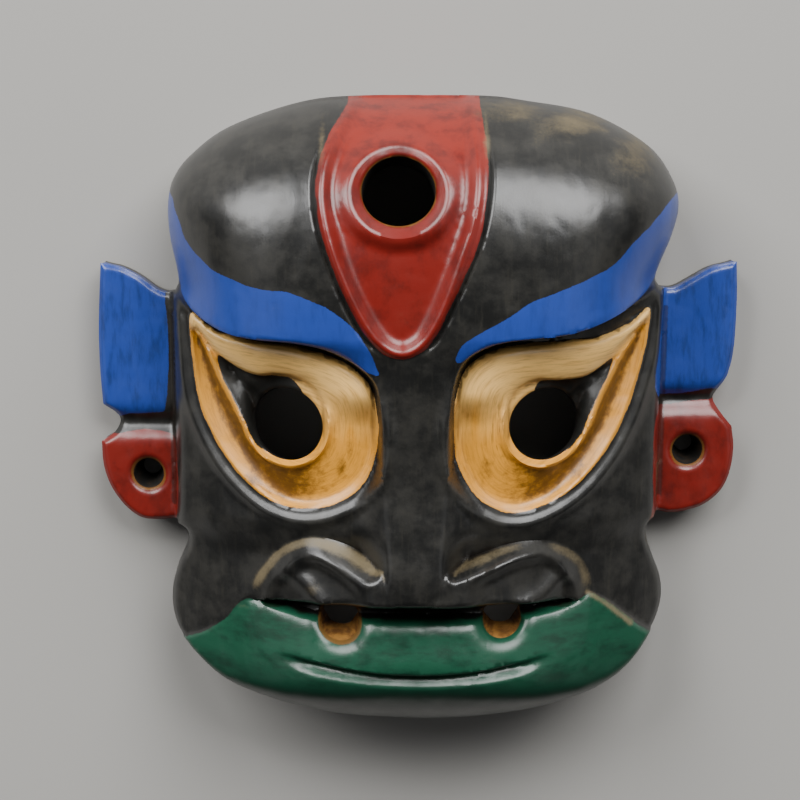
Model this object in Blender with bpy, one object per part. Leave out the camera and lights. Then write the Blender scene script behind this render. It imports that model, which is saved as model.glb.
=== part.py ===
"""Nuo mask: a three-eyed ogre face carved from one block of wood, hollow at the back.

The mask lies on the flat rim of its back, face up: +X is the viewer's right, +Y is the forehead, +Z is the
front of the face. The origin is under the middle of the mask, on the plane of the rim.
The face is laid out on a carver's drawing in millimetres, DRAWN_WIDTH by DRAWN_HEIGHT and DRAWN_BROW high, which
is stretched to the mask's own size. The wall, the rim and every hole keep their own sizes.
"""
import math

import bpy
import numpy as np
from mathutils import Vector
from mathutils.geometry import delaunay_2d_cdt

# The mask's own sizes, in metres: BROW_HEIGHT is from the plane of the rim to the middle of the forehead
MASK_WIDTH = 0.240
MASK_HEIGHT = 0.232
BROW_HEIGHT = 0.079
WALL = 0.009
RIM_WIDTH = 0.010
RIM_ROUND = 0.0018
HOLLOW_DEPTH = 0.058
EYE_HOLE_RADIUS = 0.0124
THIRD_EYE_RADIUS = 0.0128
NOSTRIL_RADIUS = 0.0070
EAR_HOLE_RADIUS = 0.0058

# How fine the facets are, in metres, and how far from each edge of the carving its rows of facets run, in
# millimetres of the drawing
EDGE_FACET = 0.0042
PLAIN_FACET = 0.0075
HOLLOW_FACET = 0.0100
HOLE_SIDES = 24
SHARP_ANGLE = math.radians(40)
EDGE_GAP = 0.0011
ROWS_BESIDE = {
    "outline": (1.6, 4.5, 9), "high": (-6, -3, -0.1), "panel": (-3.4, -1.3, 0.6, 2.2, 6.4), "muzzle": (-1, 1, 8),
    "rim": (-5, -1.6, 0.8, 6), "lids": (-2.6, 0.6, 2), "wing": (0, 4.6, 10), "mouth": (-1.6, 0, 5), "hole": (4.2, 9)}
POINTS_AT_ONCE = 2000

# The carver's drawing, in millimetres, with its middle at (0, 0)
DRAWN_WIDTH = 240.0
DRAWN_HEIGHT = 232.0
DRAWN_BROW = 79.0

# The outline, clockwise as the viewer sees it, in runs that meet at corners
CROWN_OUTLINE = [
    (-90.5, 43.5), (-88.5, 48), (-89, 55), (-91, 66), (-91.5, 77), (-89.5, 86), (-83, 94.5), (-69, 104.5),
    (-43, 113.5), (-20, 116), (21, 116), (39, 114), (63, 109.2), (84, 97.7), (93, 85.5), (95, 76),
    (92.5, 65.5), (88.5, 55), (87.5, 49), (90.5, 44.5)]
RIGHT_EAR_TOP = [(90.5, 44.5), (96, 44.4), (103, 48.2), (110, 51.8), (119, 53.8)]
RIGHT_EAR_SIDE = [(119, 53.8), (119.5, 40), (119, 22), (117, 11.5), (113.5, 5), (112, 1), (114.5, -3.5), (119, -9)]
RIGHT_LOBE = [(119, -9), (120, -17), (119, -26), (116, -33.5), (110, -39), (103, -41.5), (96, -42.3), (90, -41)]
CHEEK_AND_CHIN = [
    (90, -41), (87, -44), (86.5, -49), (89, -57), (92, -65), (93, -73), (91.5, -80), (88.5, -85.5), (80.5, -95.5),
    (69, -103.5), (54, -109.5), (38, -113.2), (20, -115.4), (0, -116), (-28, -114.4), (-48, -110.5), (-62, -106),
    (-73, -101), (-83, -93.5), (-90, -86), (-93, -78), (-93, -69), (-90.5, -59.5), (-87, -51), (-87.5, -46),
    (-91, -44)]
LEFT_LOBE = [
    (-91, -44), (-98, -45), (-105.5, -44.5), (-112, -39.5), (-117, -32), (-119.5, -24), (-120, -15)]
LEFT_NOTCH = [(-120, -15), (-115, -11.5), (-113, -7.5), (-114.5, -4), (-119, -0.5)]
LEFT_EAR_SIDE = [(-119, -0.5), (-119.8, 14), (-119.8, 30), (-118.5, 53.3)]
LEFT_EAR_TOP = [(-118.5, 53.3), (-111, 51.8), (-104, 48.4), (-98, 44), (-94, 42.5), (-90.5, 43.5)]
OUTLINE_RUNS = [CROWN_OUTLINE, RIGHT_EAR_TOP, RIGHT_EAR_SIDE, RIGHT_LOBE, CHEEK_AND_CHIN,
                LEFT_LOBE, LEFT_NOTCH, LEFT_EAR_SIDE, LEFT_EAR_TOP]

# The edges of the carving on the drawing
HIGH_GROUND = [
    (-104, 60), (-89.5, 52), (-85.5, 46), (-79.5, 41), (-70.5, 37), (-59, 35), (-45, 34.4), (-34, 32.4),
    (-26, 29), (-19.5, 24.5), (-14.8, 19), (-13.2, 10), (-12.8, 0), (-12.6, -12), (-11.8, -24), (-11, -34),
    (-10.5, -46), (-10, -75), (8, -75), (8, -46), (8.4, -34), (9.2, -24), (10.2, -12), (10.4, 0), (10.8, 10),
    (12, 19), (14.5, 26), (19.5, 31), (28, 34.6), (38.5, 36), (49, 36.7), (60, 39), (71.5, 43), (81.5, 48),
    (88, 52.5), (104, 62), (60, 160), (-60, 160)]
PANEL = [
    (-20, 126), (-26, 113), (-31.3, 105), (-34.6, 96.5), (-35.8, 87), (-34.6, 76.5), (-31.4, 65), (-27, 53.5),
    (-22, 43), (-17, 35.2), (-12, 30.6), (-6.7, 28.8), (-1.5, 30), (3.3, 33.8), (7.4, 40.4), (11.7, 49.5),
    (16.3, 59.5), (20.5, 70.5), (23, 82), (23.8, 93), (23.3, 103), (22, 113), (20, 126)]
LEFT_EYE_RIM = [
    (-82.5, 38.5), (-73.5, 32.4), (-60, 30), (-42, 28.6), (-28, 25), (-20, 19), (-16.3, 11), (-15.9, 0),
    (-17.4, -11), (-22.5, -21), (-32, -27.6), (-43, -30), (-54, -27), (-65, -19), (-74, -7), (-80, 6.5), (-82.3, 24)]
LEFT_EYELIDS = [
    (-79, 28.5), (-73, 24), (-66, 21.2), (-57, 19), (-49.5, 20.4), (-42.2, 19.5), (-37, 15.6), (-33.6, 9.5),
    (-33, 1.5), (-34.8, -5), (-39, -10.5), (-46, -13.2), (-52, -12.2), (-58, -7.8), (-63, 0), (-69, 11), (-74.5, 20)]
RIGHT_EYE_RIM = [
    (84, 39.5), (75, 33.4), (64, 30.3), (50, 30.2), (36, 30.2), (25, 28.8), (17.5, 23), (14.3, 14), (13.2, 1),
    (14.7, -11), (20, -22), (28, -28.8), (37, -30.5), (48, -27.5), (59, -21), (69, -10), (76, 3), (81, 17.5),
    (83.5, 29)]
RIGHT_EYELIDS = [
    (74.5, 24.2), (67, 21.4), (58, 18.4), (48.5, 18), (39.5, 17), (33.2, 12.5), (31, 5.5), (31.9, -3), (36.5, -9.8),
    (43.7, -13.4), (51, -11.8), (58.5, -4.6), (64.5, 6), (70, 16.5)]
LEFT_NOSTRIL_WING = [
    (-11, -53.5), (-18.5, -47.4), (-23.5, -45), (-31.5, -41.7), (-39.5, -40.2), (-48, -43), (-55.5, -50),
    (-60, -58), (-63, -67), (-66, -90), (-6, -90)]
RIGHT_NOSTRIL_WING = [
    (7.5, -53.5), (18, -47), (29.5, -43), (40.5, -40.8), (49.5, -42.8), (57, -48.8), (61.5, -56.5), (63.5, -66),
    (66, -90), (3, -90)]
MUZZLE = [
    (-110, -98), (-88, -87), (-80, -82.6), (-72, -76.5), (-67.7, -70.5), (-64, -67), (-56.5, -68), (-47, -68.7),
    (-36, -69.5), (-18, -69.2), (0, -69.2), (15, -69.2), (34, -69), (46.5, -68.3), (58, -67), (64, -65.2),
    (71.5, -71.5), (79.5, -79), (89, -85.5), (110, -96), (70, -150), (-70, -150)]
MOUTH = [(-53, -85.9), (-43, -87.7), (-28.5, -89.8), (-14, -91.2), (0, -91.7), (18.5, -91), (37, -88.6), (51, -85.6)]
LEFT_LOBE_RIDGE = [(-47, -53), (-41, -57), (-35, -63.5)]
RIGHT_LOBE_RIDGE = [(53, -55), (46, -61.5), (38, -64.5)]

# The holes: the centre on the drawing, the radius, the height as a share of the width, and how far the bore
# shifts towards the forehead for each unit that it goes in
HOLES = {
    "third_eye": ((-7.2, 86.1), THIRD_EYE_RADIUS, 0.89, -0.22),
    "left_eye": ((-47.0, 1.9), EYE_HOLE_RADIUS, 1.0, -0.2),
    "right_eye": ((45.0, 1.5), EYE_HOLE_RADIUS, 1.0, -0.2),
    "left_nostril": ((-28.7, -72.1), NOSTRIL_RADIUS, 1.0, 0.2),
    "right_nostril": ((30.6, -71.4), NOSTRIL_RADIUS, 1.0, 0.2),
    "left_ear": ((-102.3, -27.2), EAR_HOLE_RADIUS, 1.0, 0.0),
    "right_ear": ((102.3, -17.9), EAR_HOLE_RADIUS, 1.0, 0.0),
}

# What changes from the chin up to the crown, as (y, size): the height of the block's edge, the height of its
# middle line, and how wide the wall is that drops from the brows and the bridge of the nose
EDGE_HEIGHTS = [(-120, 37), (-86, 31), (-64, 27), (-42, 20.5), (0, 19), (38, 20.5), (60, 26), (88, 24), (124, 14)]
MIDDLE_LINE = [(-80, 73), (-56, 76.5), (-38, 75), (-18, 73), (4, 74), (24, 76.5), (44, 79), (90, 79), (130, 79)]
WALL_WIDTHS = [(-90, 9), (-62, 9), (-46, 10), (-32, 15), (-14, 4), (0, 2.8), (12, 3.2), (26, 6), (70, 7)]

# The block: how far in from its edge it has rounded over, and how round its shoulder and the nose's bridge are
ROUNDING_REACH = 62.0
SHOULDER_FULLNESS = (2.6, 0.6)
BRIDGE_ROUND = 0.010

# The middle face: its level at the eyes, where its middle is, how far it is flat to each side, how fast it falls
# away from there, and how much lower it is on the cheeks
EYE_LEVEL = 64.5
NOSE_MIDDLE = -1.3
FLAT_HALF_WIDTH = 16.0
SIDE_FALL = 0.0062
CHEEK_DROP = 4.5

# The eyes: the swell of the rim's upper band, the lip and the channel of its lower band, the lids' raised edge,
# the ridge and the groove of the cheek outside it, and how deep the eyeball lies
BAND_SWELL = 3.2
RIM_LIP = 1.2
RIM_CHANNEL = 3.4
LID_EDGE = 2.4
CHEEK_RIDGE = 2.2
CHEEK_RIDGE_OUT = 5.0
CHEEK_GROOVE = 0.8
EYEBALL_DEPTH = 2.5
EYEBALL_BEVEL = 3.2
LOWER_EYEBALL = 2.4

# The nose: its level, how round it is, its sloped upper band, the scoop of each wing and the small ridge in it
NOSE_LEVEL = 76.0
NOSE_ROUND = 0.0078
WING_BAND = 4.6
WING_SCOOP = 3.0
WING_RIDGE = 3.0

# The muzzle: the ledge under the nose, its own level, how round both are, and the bevels of its upper edge
LEDGE_LEVEL = 56.0
MUZZLE_LEVEL = 67.5
MUZZLE_ROUND = 0.0046
MUZZLE_LIP = 4.0
MUZZLE_LIP_WIDTH = 3.2
MUZZLE_SLOPE = 6.0
MUZZLE_SLOPE_WIDTH = 18.0
NOSTRIL_BEVEL = 2.6
MOUTH_DEPTH = 3.2
MOUTH_ABOVE = 1.5
MOUTH_BELOW = 4.4
MOUTH_FULL = 34.0
MOUTH_END = 53.0

# The forehead's panel: its dish, its raised rim, the groove round it, and the collar of the third eye
PANEL_DISH = 2.8
PANEL_RIM = 2.0
PANEL_RIM_IN = 2.2
PANEL_GROOVE = 2.4
COLLAR_WIDTH = 4.2
COLLAR_REACH = 11.0
COLLAR_BEVEL = 3.4

# The ears: the plate's level at the head, how fast it falls outwards, and the trough above the lobe
EAR_LEVEL = 17.0
EAR_ROOT = 90.0
EAR_FALL = 0.09
EAR_TROUGH = 4.0
LEFT_TROUGH_Y = -7.5
RIGHT_TROUGH_Y = 1.5
EAR_HOLE_BEVEL = 1.2

# The hollow is at its full depth this share of the mask's width in from the rim
HOLLOW_REACH = 0.25

# The eased edge all round the front
EDGE_EASE = 1.4
EDGE_EASE_WIDTH = 1.6

# How far the sides of the mask lean in towards the back, as a share of their height
SIDE_LEAN = 0.08


def smooth_run(points, per_span=6, closed=False):
    """Points of a Catmull-Rom curve through the given ones."""
    knots = [np.array(p, float) for p in points]
    if closed:
        ring = [knots[-1]] + knots + knots[:2]
    else:
        ring = [2 * knots[0] - knots[1]] + knots + [2 * knots[-1] - knots[-2]]
    path = []
    for a, b, c, d in zip(ring, ring[1:], ring[2:], ring[3:]):
        for step in range(per_span):
            t = step / per_span
            path.append(0.5 * (2 * b + (c - a) * t + (2 * a - 5 * b + 4 * c - d) * t ** 2
                               + (3 * b - a - 3 * c + d) * t ** 3))
    if not closed:
        path.append(knots[-1])
    return np.array(path)


def evenly_spaced(path, spacing):
    """The same path with its points about one spacing apart, both ends kept."""
    steps = np.hypot(*np.diff(path, axis=0).T)
    run = np.concatenate([[0.0], np.cumsum(steps)])
    count = max(1, round(run[-1] / spacing))
    stations = np.linspace(0.0, run[-1], count + 1)
    return np.column_stack([np.interp(stations, run, path[:, axis]) for axis in (0, 1)])


def distance_inside(points, loop):
    """How far each point is from a closed loop, positive inside it."""
    step = np.roll(loop, -1, axis=0) - loop
    length = np.maximum((step ** 2).sum(1), 1e-12)
    rising = np.where(np.abs(step[:, 1]) < 1e-12, 1e-12, step[:, 1])
    result = np.empty(len(points))
    for first in range(0, len(points), POINTS_AT_ONCE):
        some = points[first:first + POINTS_AT_ONCE, None, :]
        offset = some - loop
        along = np.clip((offset * step).sum(2) / length, 0, 1)
        gap = offset - along[..., None] * step
        away = np.sqrt((gap ** 2).sum(2).min(1))
        crosses = (loop[:, 1] > some[..., 1]) != ((loop + step)[:, 1] > some[..., 1])
        meets = loop[:, 0] + (some[..., 1] - loop[:, 1]) * step[:, 0] / rising
        inside = (crosses & (some[..., 0] < meets)).sum(1) % 2 == 1
        result[first:first + POINTS_AT_ONCE] = np.where(inside, away, -away)
    return result


def soft_distance(points, loop):
    """The distance inside a loop with no creases along its middle, as a heavy body would feel its walls."""
    exact = distance_inside(points, loop)
    closed = evenly_spaced(np.vstack([loop, loop[:1]]), 3.0)[:-1]
    spacing = np.hypot(*(closed[1] - closed[0]))
    straight_wall = 3 * math.pi / 8
    soft = np.empty(len(points))
    for first in range(0, len(points), POINTS_AT_ONCE):
        some = points[first:first + POINTS_AT_ONCE, None, :]
        gap = ((some - closed) ** 2).sum(2) + 1e-6
        soft[first:first + POINTS_AT_ONCE] = (spacing * (gap ** -3).sum(1) / straight_wall) ** -0.2
    return exact + (soft - exact) * ease(exact, 3, 12)


def distance_to_run(points, run):
    """How far each point is from an open run of points."""
    there_and_back = np.concatenate([run, run[-2:0:-1]])
    return np.abs(distance_inside(points, there_and_back))


def ease(value, low, high):
    """0 below low and 1 above high, with a soft start and end."""
    t = np.clip((value - low) / (high - low), 0, 1)
    return t * t * (3 - 2 * t)


def size_along(position, sizes):
    """A size read from a smooth curve through a list of (position, size)."""
    curve = smooth_run(sizes)
    return np.interp(position, curve[:, 0], curve[:, 1])


def lower_of(a, b, blend):
    """The lower of two surfaces, rounded where they meet."""
    share = np.clip(0.5 + 0.5 * (b - a) / blend, 0, 1)
    return b + (a - b) * share - blend * share * (1 - share)


def higher_of(a, b, blend):
    """The higher of two surfaces, with a hollow fillet where they meet."""
    return -lower_of(-a, -b, blend)


def hump(distance, width):
    """A round ridge, 1 at its line and gone about twice its width away."""
    return np.exp(-(distance / width) ** 2)


OUTLINE = np.concatenate([smooth_run(run)[:-1] for run in OUTLINE_RUNS])
HEAD = np.concatenate([smooth_run(CROWN_OUTLINE), smooth_run(CHEEK_AND_CHIN)])
SHAPES = {name: smooth_run(points, closed=True) for name, points in {
    "high": HIGH_GROUND, "panel": PANEL, "muzzle": MUZZLE,
    "left_rim": LEFT_EYE_RIM, "right_rim": RIGHT_EYE_RIM,
    "left_lids": LEFT_EYELIDS, "right_lids": RIGHT_EYELIDS,
    "left_wing": LEFT_NOSTRIL_WING, "right_wing": RIGHT_NOSTRIL_WING}.items()}
MOUTH_LINE = smooth_run(MOUTH)


def on_drawing(hole):
    """A hole's centre and radius on the drawing."""
    return HOLES[hole][0], HOLES[hole][1] * DRAWN_WIDTH / MASK_WIDTH


def rounded_block(inward, edge, top):
    """The block rounded over from its edge up to the given top, and falling steeply outside it."""
    share = np.clip(inward / ROUNDING_REACH, 0, 1)
    steep, full = SHOULDER_FULLNESS
    return edge + (top - edge) * (1 - (1 - share) ** steep) ** full + 5 * np.minimum(inward, 0)


def middle_face(points, block):
    """The level that the eyes and cheeks are cut back to."""
    sideways = np.maximum(np.abs(points[:, 0] - NOSE_MIDDLE) - FLAT_HALF_WIDTH, 0)
    level = EYE_LEVEL - SIDE_FALL * sideways ** 2 - CHEEK_DROP * ease(-points[:, 1], 34, 50)
    return lower_of(level, block, 6)


def eye(points, surface, side):
    """One eye: a ridge of cheek, the painted rim with its channel and lids, and the eyeball."""
    (hole_x, hole_y), radius = on_drawing(side + "_eye")
    from_rim = distance_inside(points, SHAPES[side + "_rim"])
    into_lids = distance_inside(points, SHAPES[side + "_lids"])
    from_hole = np.hypot(points[:, 0] - hole_x, points[:, 1] - hole_y)
    below = ease(hole_y + 10 - points[:, 1], -4, 10)
    across = np.clip(from_rim / np.maximum(from_rim - into_lids, 0.1), 0, 1)
    swell = np.sin(math.pi * across)
    upper_band = BAND_SWELL * swell ** 0.8
    raised = RIM_LIP * hump(from_rim - 0.8, 1.4) + LID_EDGE * hump(into_lids, 2.2)
    channel = raised - RIM_CHANNEL * swell ** 1.2
    band = (upper_band * (1 - below) + channel * below) * ease(from_rim, -0.4, 0.4)
    cheek = CHEEK_RIDGE * hump(from_rim + CHEEK_RIDGE_OUT, 2.6) - CHEEK_GROOVE * hump(from_rim + 1.6, 1.4)
    surface = surface + np.where(from_rim > 0, band, below * cheek)
    bevel = EYEBALL_BEVEL * (1 - ease(from_hole, radius, radius + 9))
    eyeball = EYEBALL_DEPTH + bevel + LOWER_EYEBALL * below
    return surface - eyeball * ease(into_lids, -0.6, 1.8)


def nostril_wing(points, surface, side):
    """One side of the nose: a sloped upper band, a crisp crest and a scooped face with a small ridge."""
    inward = distance_inside(points, SHAPES[side + "_wing"])
    ridge = smooth_run(LEFT_LOBE_RIDGE if side == "left" else RIGHT_LOBE_RIDGE)
    face = NOSE_LEVEL - NOSE_ROUND * points[:, 0] ** 2
    scoop = WING_SCOOP * ease(inward, 5.0, 11) * ease(np.abs(points[:, 0]), 16, 26)
    small_ridge = WING_RIDGE * hump(distance_to_run(points, ridge), 3.0)
    lift = np.clip(inward / WING_BAND, 0, 1) * ease(points[:, 1], -69, -60.5)
    return surface + (face - scoop + small_ridge - surface) * lift


def muzzle(points, block, inward):
    """The muzzle: a bevel under the nose, two nostrils with their bevels, and the cut of the mouth."""
    x, y = points.T
    fade = size_along(np.abs(x), [(0, 1), (30, 0.9), (60, 0.55), (88, 0.1), (120, 0.1)])
    lip = MUZZLE_LIP * (1 - ease(inward, 0, MUZZLE_LIP_WIDTH))
    slope = MUZZLE_SLOPE * (1 - ease(inward, 0, MUZZLE_SLOPE_WIDTH))
    surface = lower_of(MUZZLE_LEVEL - MUZZLE_ROUND * x ** 2 - fade * (lip + slope), block, 5)
    for name in ("left_nostril", "right_nostril"):
        (hole_x, hole_y), radius = on_drawing(name)
        from_hole = np.hypot(x - hole_x, y - hole_y)
        bevel = NOSTRIL_BEVEL * (1 - ease(from_hole, radius, radius + 4))
        surface = surface - bevel * ease(hole_y + 6 - y, 0, 6)
    above_mouth = y - np.interp(x, MOUTH_LINE[:, 0], MOUTH_LINE[:, 1])
    reach = np.where(above_mouth > 0, MOUTH_ABOVE, MOUTH_BELOW)
    cut = 1 - ease(distance_to_run(points, MOUTH_LINE), 0, reach)
    return surface - MOUTH_DEPTH * cut * (1 - ease(np.abs(x - NOSE_MIDDLE), MOUTH_FULL, MOUTH_END))


def forehead_panel(points):
    """What the red panel adds: a groove round it, a raised rim, a dish, and a collar round the third eye."""
    x, y = points.T
    inward = distance_inside(points, SHAPES["panel"])
    (hole_x, hole_y), radius = on_drawing("third_eye")
    from_hole = np.hypot(x - hole_x, (y - hole_y) / HOLES["third_eye"][2])
    dish = PANEL_DISH * ease(inward, 2.4, 6.4)
    rim = PANEL_RIM * hump(inward - PANEL_RIM_IN, 1.6)
    collar = dish * (1 - ease(from_hole, radius + COLLAR_WIDTH, radius + COLLAR_REACH))
    bevel = COLLAR_BEVEL * (1 - np.clip((from_hole - radius) / COLLAR_WIDTH, 0, 1))
    groove = PANEL_GROOVE * (1 - np.clip(np.abs(inward + 1.3) / 2.0, 0, 1)) * ease(108 - y, 0, 16)
    return (rim - dish + collar - bevel) * ease(inward, 0, 0.8) - groove


def face_height(points):
    """Height of the front of the mask at points of the drawing."""
    x, y = points.T
    inward = soft_distance(points, HEAD)
    edge = size_along(y, EDGE_HEIGHTS)
    bridge_round = BRIDGE_ROUND * (x - NOSE_MIDDLE) ** 2 * ease(36 - y, 0, 16)
    high = rounded_block(inward, edge, size_along(y, MIDDLE_LINE) - bridge_round)
    middle = middle_face(points, rounded_block(inward, edge, DRAWN_BROW))
    down_the_wall = -distance_inside(points, SHAPES["high"]) / np.maximum(size_along(y, WALL_WIDTHS), 2)
    straight, rounded = np.clip(1 - down_the_wall, 0, 1), ease(-down_the_wall, -1, 0)
    height = middle + (high - middle) * (0.6 * straight + 0.4 * rounded)
    height = eye(points, height, "left")
    height = eye(points, height, "right")

    ledge = lower_of(LEDGE_LEVEL - MUZZLE_ROUND * x ** 2, middle, 4)
    height = height + (ledge - height) * ease(-y, 60.5, 69) * (1 - ease(np.abs(x), 54, 66))
    height = nostril_wing(points, height, "left")
    height = nostril_wing(points, height, "right")

    into_muzzle = distance_inside(points, SHAPES["muzzle"])
    chin = muzzle(points, rounded_block(inward, edge, NOSE_LEVEL), into_muzzle)
    height = height + (chin - height) * ease(into_muzzle, -0.9, 0.9)
    return height + forehead_panel(points)


def ear_height(points):
    """Height of the ear plates, with the trough between the upper ear and the lobe."""
    x, y = points.T
    trough = np.where(x < 0, LEFT_TROUGH_Y, RIGHT_TROUGH_Y)
    plate = EAR_LEVEL - EAR_FALL * (np.abs(x) - EAR_ROOT)
    for name in ("left_ear", "right_ear"):
        (hole_x, hole_y), radius = on_drawing(name)
        plate = plate - EAR_HOLE_BEVEL * (1 - ease(np.hypot(x - hole_x, y - hole_y), radius, radius + 2.5))
    return plate - EAR_TROUGH * hump(y - trough, 4.2)


def front_height(points):
    """Height of the front above the plane of the rim, in metres, at places in metres."""
    drawn = to_drawing(points)
    edge = distance_inside(drawn, OUTLINE)
    height = higher_of(face_height(drawn), ear_height(drawn), 5)
    height = height - EDGE_EASE * (1 - ease(edge, 0, EDGE_EASE_WIDTH))
    return height * BROW_HEIGHT / DRAWN_BROW


def to_drawing(points):
    """Places in metres, as millimetres of the drawing."""
    return points * (DRAWN_WIDTH / MASK_WIDTH, DRAWN_HEIGHT / MASK_HEIGHT)


def from_drawing(points):
    """Millimetres of the drawing, as places in metres."""
    return np.asarray(points, float) * (MASK_WIDTH / DRAWN_WIDTH, MASK_HEIGHT / DRAWN_HEIGHT)


def hollow_height(points):
    """Height of the hollow at the back: nowhere nearer to the front than the wall, and 0 on the rim."""
    head = from_drawing(HEAD)
    outline = from_drawing(OUTLINE)
    inward = distance_inside(points, head) - RIM_WIDTH
    share = np.clip(inward / (MASK_WIDTH * HOLLOW_REACH), 0, 1)
    bowl = HOLLOW_DEPTH * (1 - (1 - share) ** 2.4) ** 0.62
    nearest = front_height(points) - WALL
    for reach in (0.45, 0.85):
        for turn in np.linspace(0, 2 * math.pi, 12, endpoint=False):
            around = points + WALL * reach * np.array([math.cos(turn), math.sin(turn)])
            front = np.where(distance_inside(around, outline) > 0, front_height(around), 0)
            nearest = np.minimum(nearest, front - WALL * math.sqrt(1 - reach ** 2))
    return np.maximum(np.minimum(bowl, nearest), 0) * (inward > 0)


def hole_ring(name, depth=0.0):
    """The ring of one hole, where it has gone in by the given depth."""
    centre, radius, squash, slant = HOLES[name]
    middle = from_drawing(centre) + np.array([0, slant * depth])
    turns = np.linspace(0, 2 * math.pi, HOLE_SIDES, endpoint=False)
    return middle + radius * np.column_stack([np.cos(turns), squash * np.sin(turns)])


def offset_rows(loop, distances, spacing, closed=True):
    """Points in rows beside a line, at the given distances to its inner side."""
    path = evenly_spaced(np.vstack([loop, loop[:1]]) if closed else loop, spacing)
    direction = np.gradient(path, axis=0)
    direction /= np.maximum(np.hypot(*direction.T), 1e-9)[:, None]
    inner = np.column_stack([direction[:, 1], -direction[:, 0]])
    return np.concatenate([path + inner * distance for distance in distances])


def grid(spacing):
    """A triangular grid of points over the whole mask."""
    rows = []
    for row, y in enumerate(np.arange(-MASK_HEIGHT / 2, MASK_HEIGHT / 2, spacing * math.sin(math.pi / 3))):
        start = -MASK_WIDTH / 2 + spacing * (row % 2) / 2
        xs = np.arange(start, MASK_WIDTH / 2, spacing)
        rows.append(np.column_stack([xs, np.full(len(xs), y)]))
    return np.concatenate(rows)


def thin_out(points, gaps, fixed):
    """The points that stay when each must keep its own gap to those kept before it."""
    kept = list(fixed)
    for point, gap in zip(points, gaps):
        near = np.array(kept) - point
        if (near ** 2).sum(1).min() > gap ** 2:
            kept.append(point)
    return np.array(kept[len(fixed):])


def triangulate(loops, inner_points):
    """Triangles between the first loop and the rest, which are its holes, through the inner points."""
    verts = np.concatenate(loops + [inner_points])
    edges = []
    first = 0
    for loop in loops:
        count = len(loop)
        edges += [(first + i, first + (i + 1) % count) for i in range(count)]
        first += count
    result = delaunay_2d_cdt([Vector(v) for v in verts], edges, [], 0, 1e-9)
    source = [ids[0] for ids in result[3]]
    faces = np.array([[source[i] for i in face] for face in result[2]])
    middles = verts[faces].mean(axis=1)
    inside = distance_inside(middles, loops[0]) > 0
    for loop in loops[1:]:
        inside &= distance_inside(middles, loop) < 0
    faces = faces[inside]
    a, b, c = (verts[faces[:, i]] for i in range(3))
    turn = (b - a)[:, 0] * (c - a)[:, 1] - (b - a)[:, 1] * (c - a)[:, 0]
    faces[turn < 0] = faces[turn < 0][:, ::-1]
    return verts, faces


def outline_ring():
    """The outline in metres, evenly spaced, with every corner kept."""
    runs = [evenly_spaced(from_drawing(smooth_run(run)), EDGE_FACET)[:-1] for run in OUTLINE_RUNS]
    return np.concatenate(runs)


def ring_inwards(ring, distance):
    """A ring moved inwards by a distance at every point."""
    direction = np.roll(ring, -1, axis=0) - np.roll(ring, 1, axis=0)
    direction /= np.hypot(*direction.T)[:, None]
    return ring + np.column_stack([direction[:, 1], -direction[:, 0]]) * np.reshape(distance, (-1, 1))


def front_points(ring, holes):
    """Inner points of the front: rows along every edge of the carving, then a plain grid."""
    scale = MASK_WIDTH / DRAWN_WIDTH
    rows = [offset_rows(ring, [distance * scale for distance in ROWS_BESIDE["outline"]], EDGE_FACET)]
    for name in SHAPES:
        distances = ROWS_BESIDE[name.split("_")[-1]]
        loop = from_drawing(SHAPES[name])
        turn = (loop[:, 0] * np.roll(loop[:, 1], -1) - np.roll(loop[:, 0], -1) * loop[:, 1]).sum()
        loop = loop if turn < 0 else loop[::-1]
        rows.append(offset_rows(loop, [d * scale for d in distances], EDGE_FACET))
    mouth_rows = [distance * scale for distance in ROWS_BESIDE["mouth"]]
    rows.append(offset_rows(from_drawing(MOUTH_LINE), mouth_rows, EDGE_FACET, closed=False))
    for name in HOLES:
        centre, radius = from_drawing(HOLES[name][0]), HOLES[name][1]
        for wider in (distance * scale for distance in ROWS_BESIDE["hole"]):
            turns = np.linspace(0, 2 * math.pi, HOLE_SIDES, endpoint=False)
            rows.append(centre + (radius + wider) * np.column_stack([np.cos(turns), np.sin(turns)]))
    edge_points = np.concatenate(rows)
    plain_points = grid(PLAIN_FACET)
    points = np.concatenate([edge_points, plain_points])
    gaps = np.full(len(points), PLAIN_FACET * 0.7)
    gaps[:len(edge_points)] = EDGE_FACET * 0.42
    clear = distance_inside(points, ring) > EDGE_GAP
    for hole in holes:
        clear &= distance_inside(points, hole) < -EDGE_GAP
    return thin_out(points[clear], gaps[clear], np.concatenate([ring] + holes))


def back_points(ring, holes):
    """Inner points of the back: rows along the rim's inner edge, then a plain grid."""
    head = from_drawing(HEAD)
    into_hollow = [RIM_WIDTH + distance for distance in (0, 0.0012, 0.005, 0.012)]
    rows = offset_rows(head, into_hollow, HOLLOW_FACET * 0.7)
    plain = grid(HOLLOW_FACET)
    points = np.concatenate([rows, plain])
    gaps = np.concatenate([np.full(len(rows), 0.001), np.full(len(plain), HOLLOW_FACET * 0.6)])
    clear = distance_inside(points, ring) > 0.003
    for hole in holes:
        clear &= distance_inside(points, hole) < -0.003
    return thin_out(points[clear], gaps[clear], np.concatenate([ring] + holes))


def bridge(upper, lower):
    """Quads between two rings of vertex numbers, facing away from the inside of the ring."""
    count = len(upper)
    return [(upper[i], upper[(i + 1) % count], lower[(i + 1) % count], lower[i]) for i in range(count)]


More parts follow.
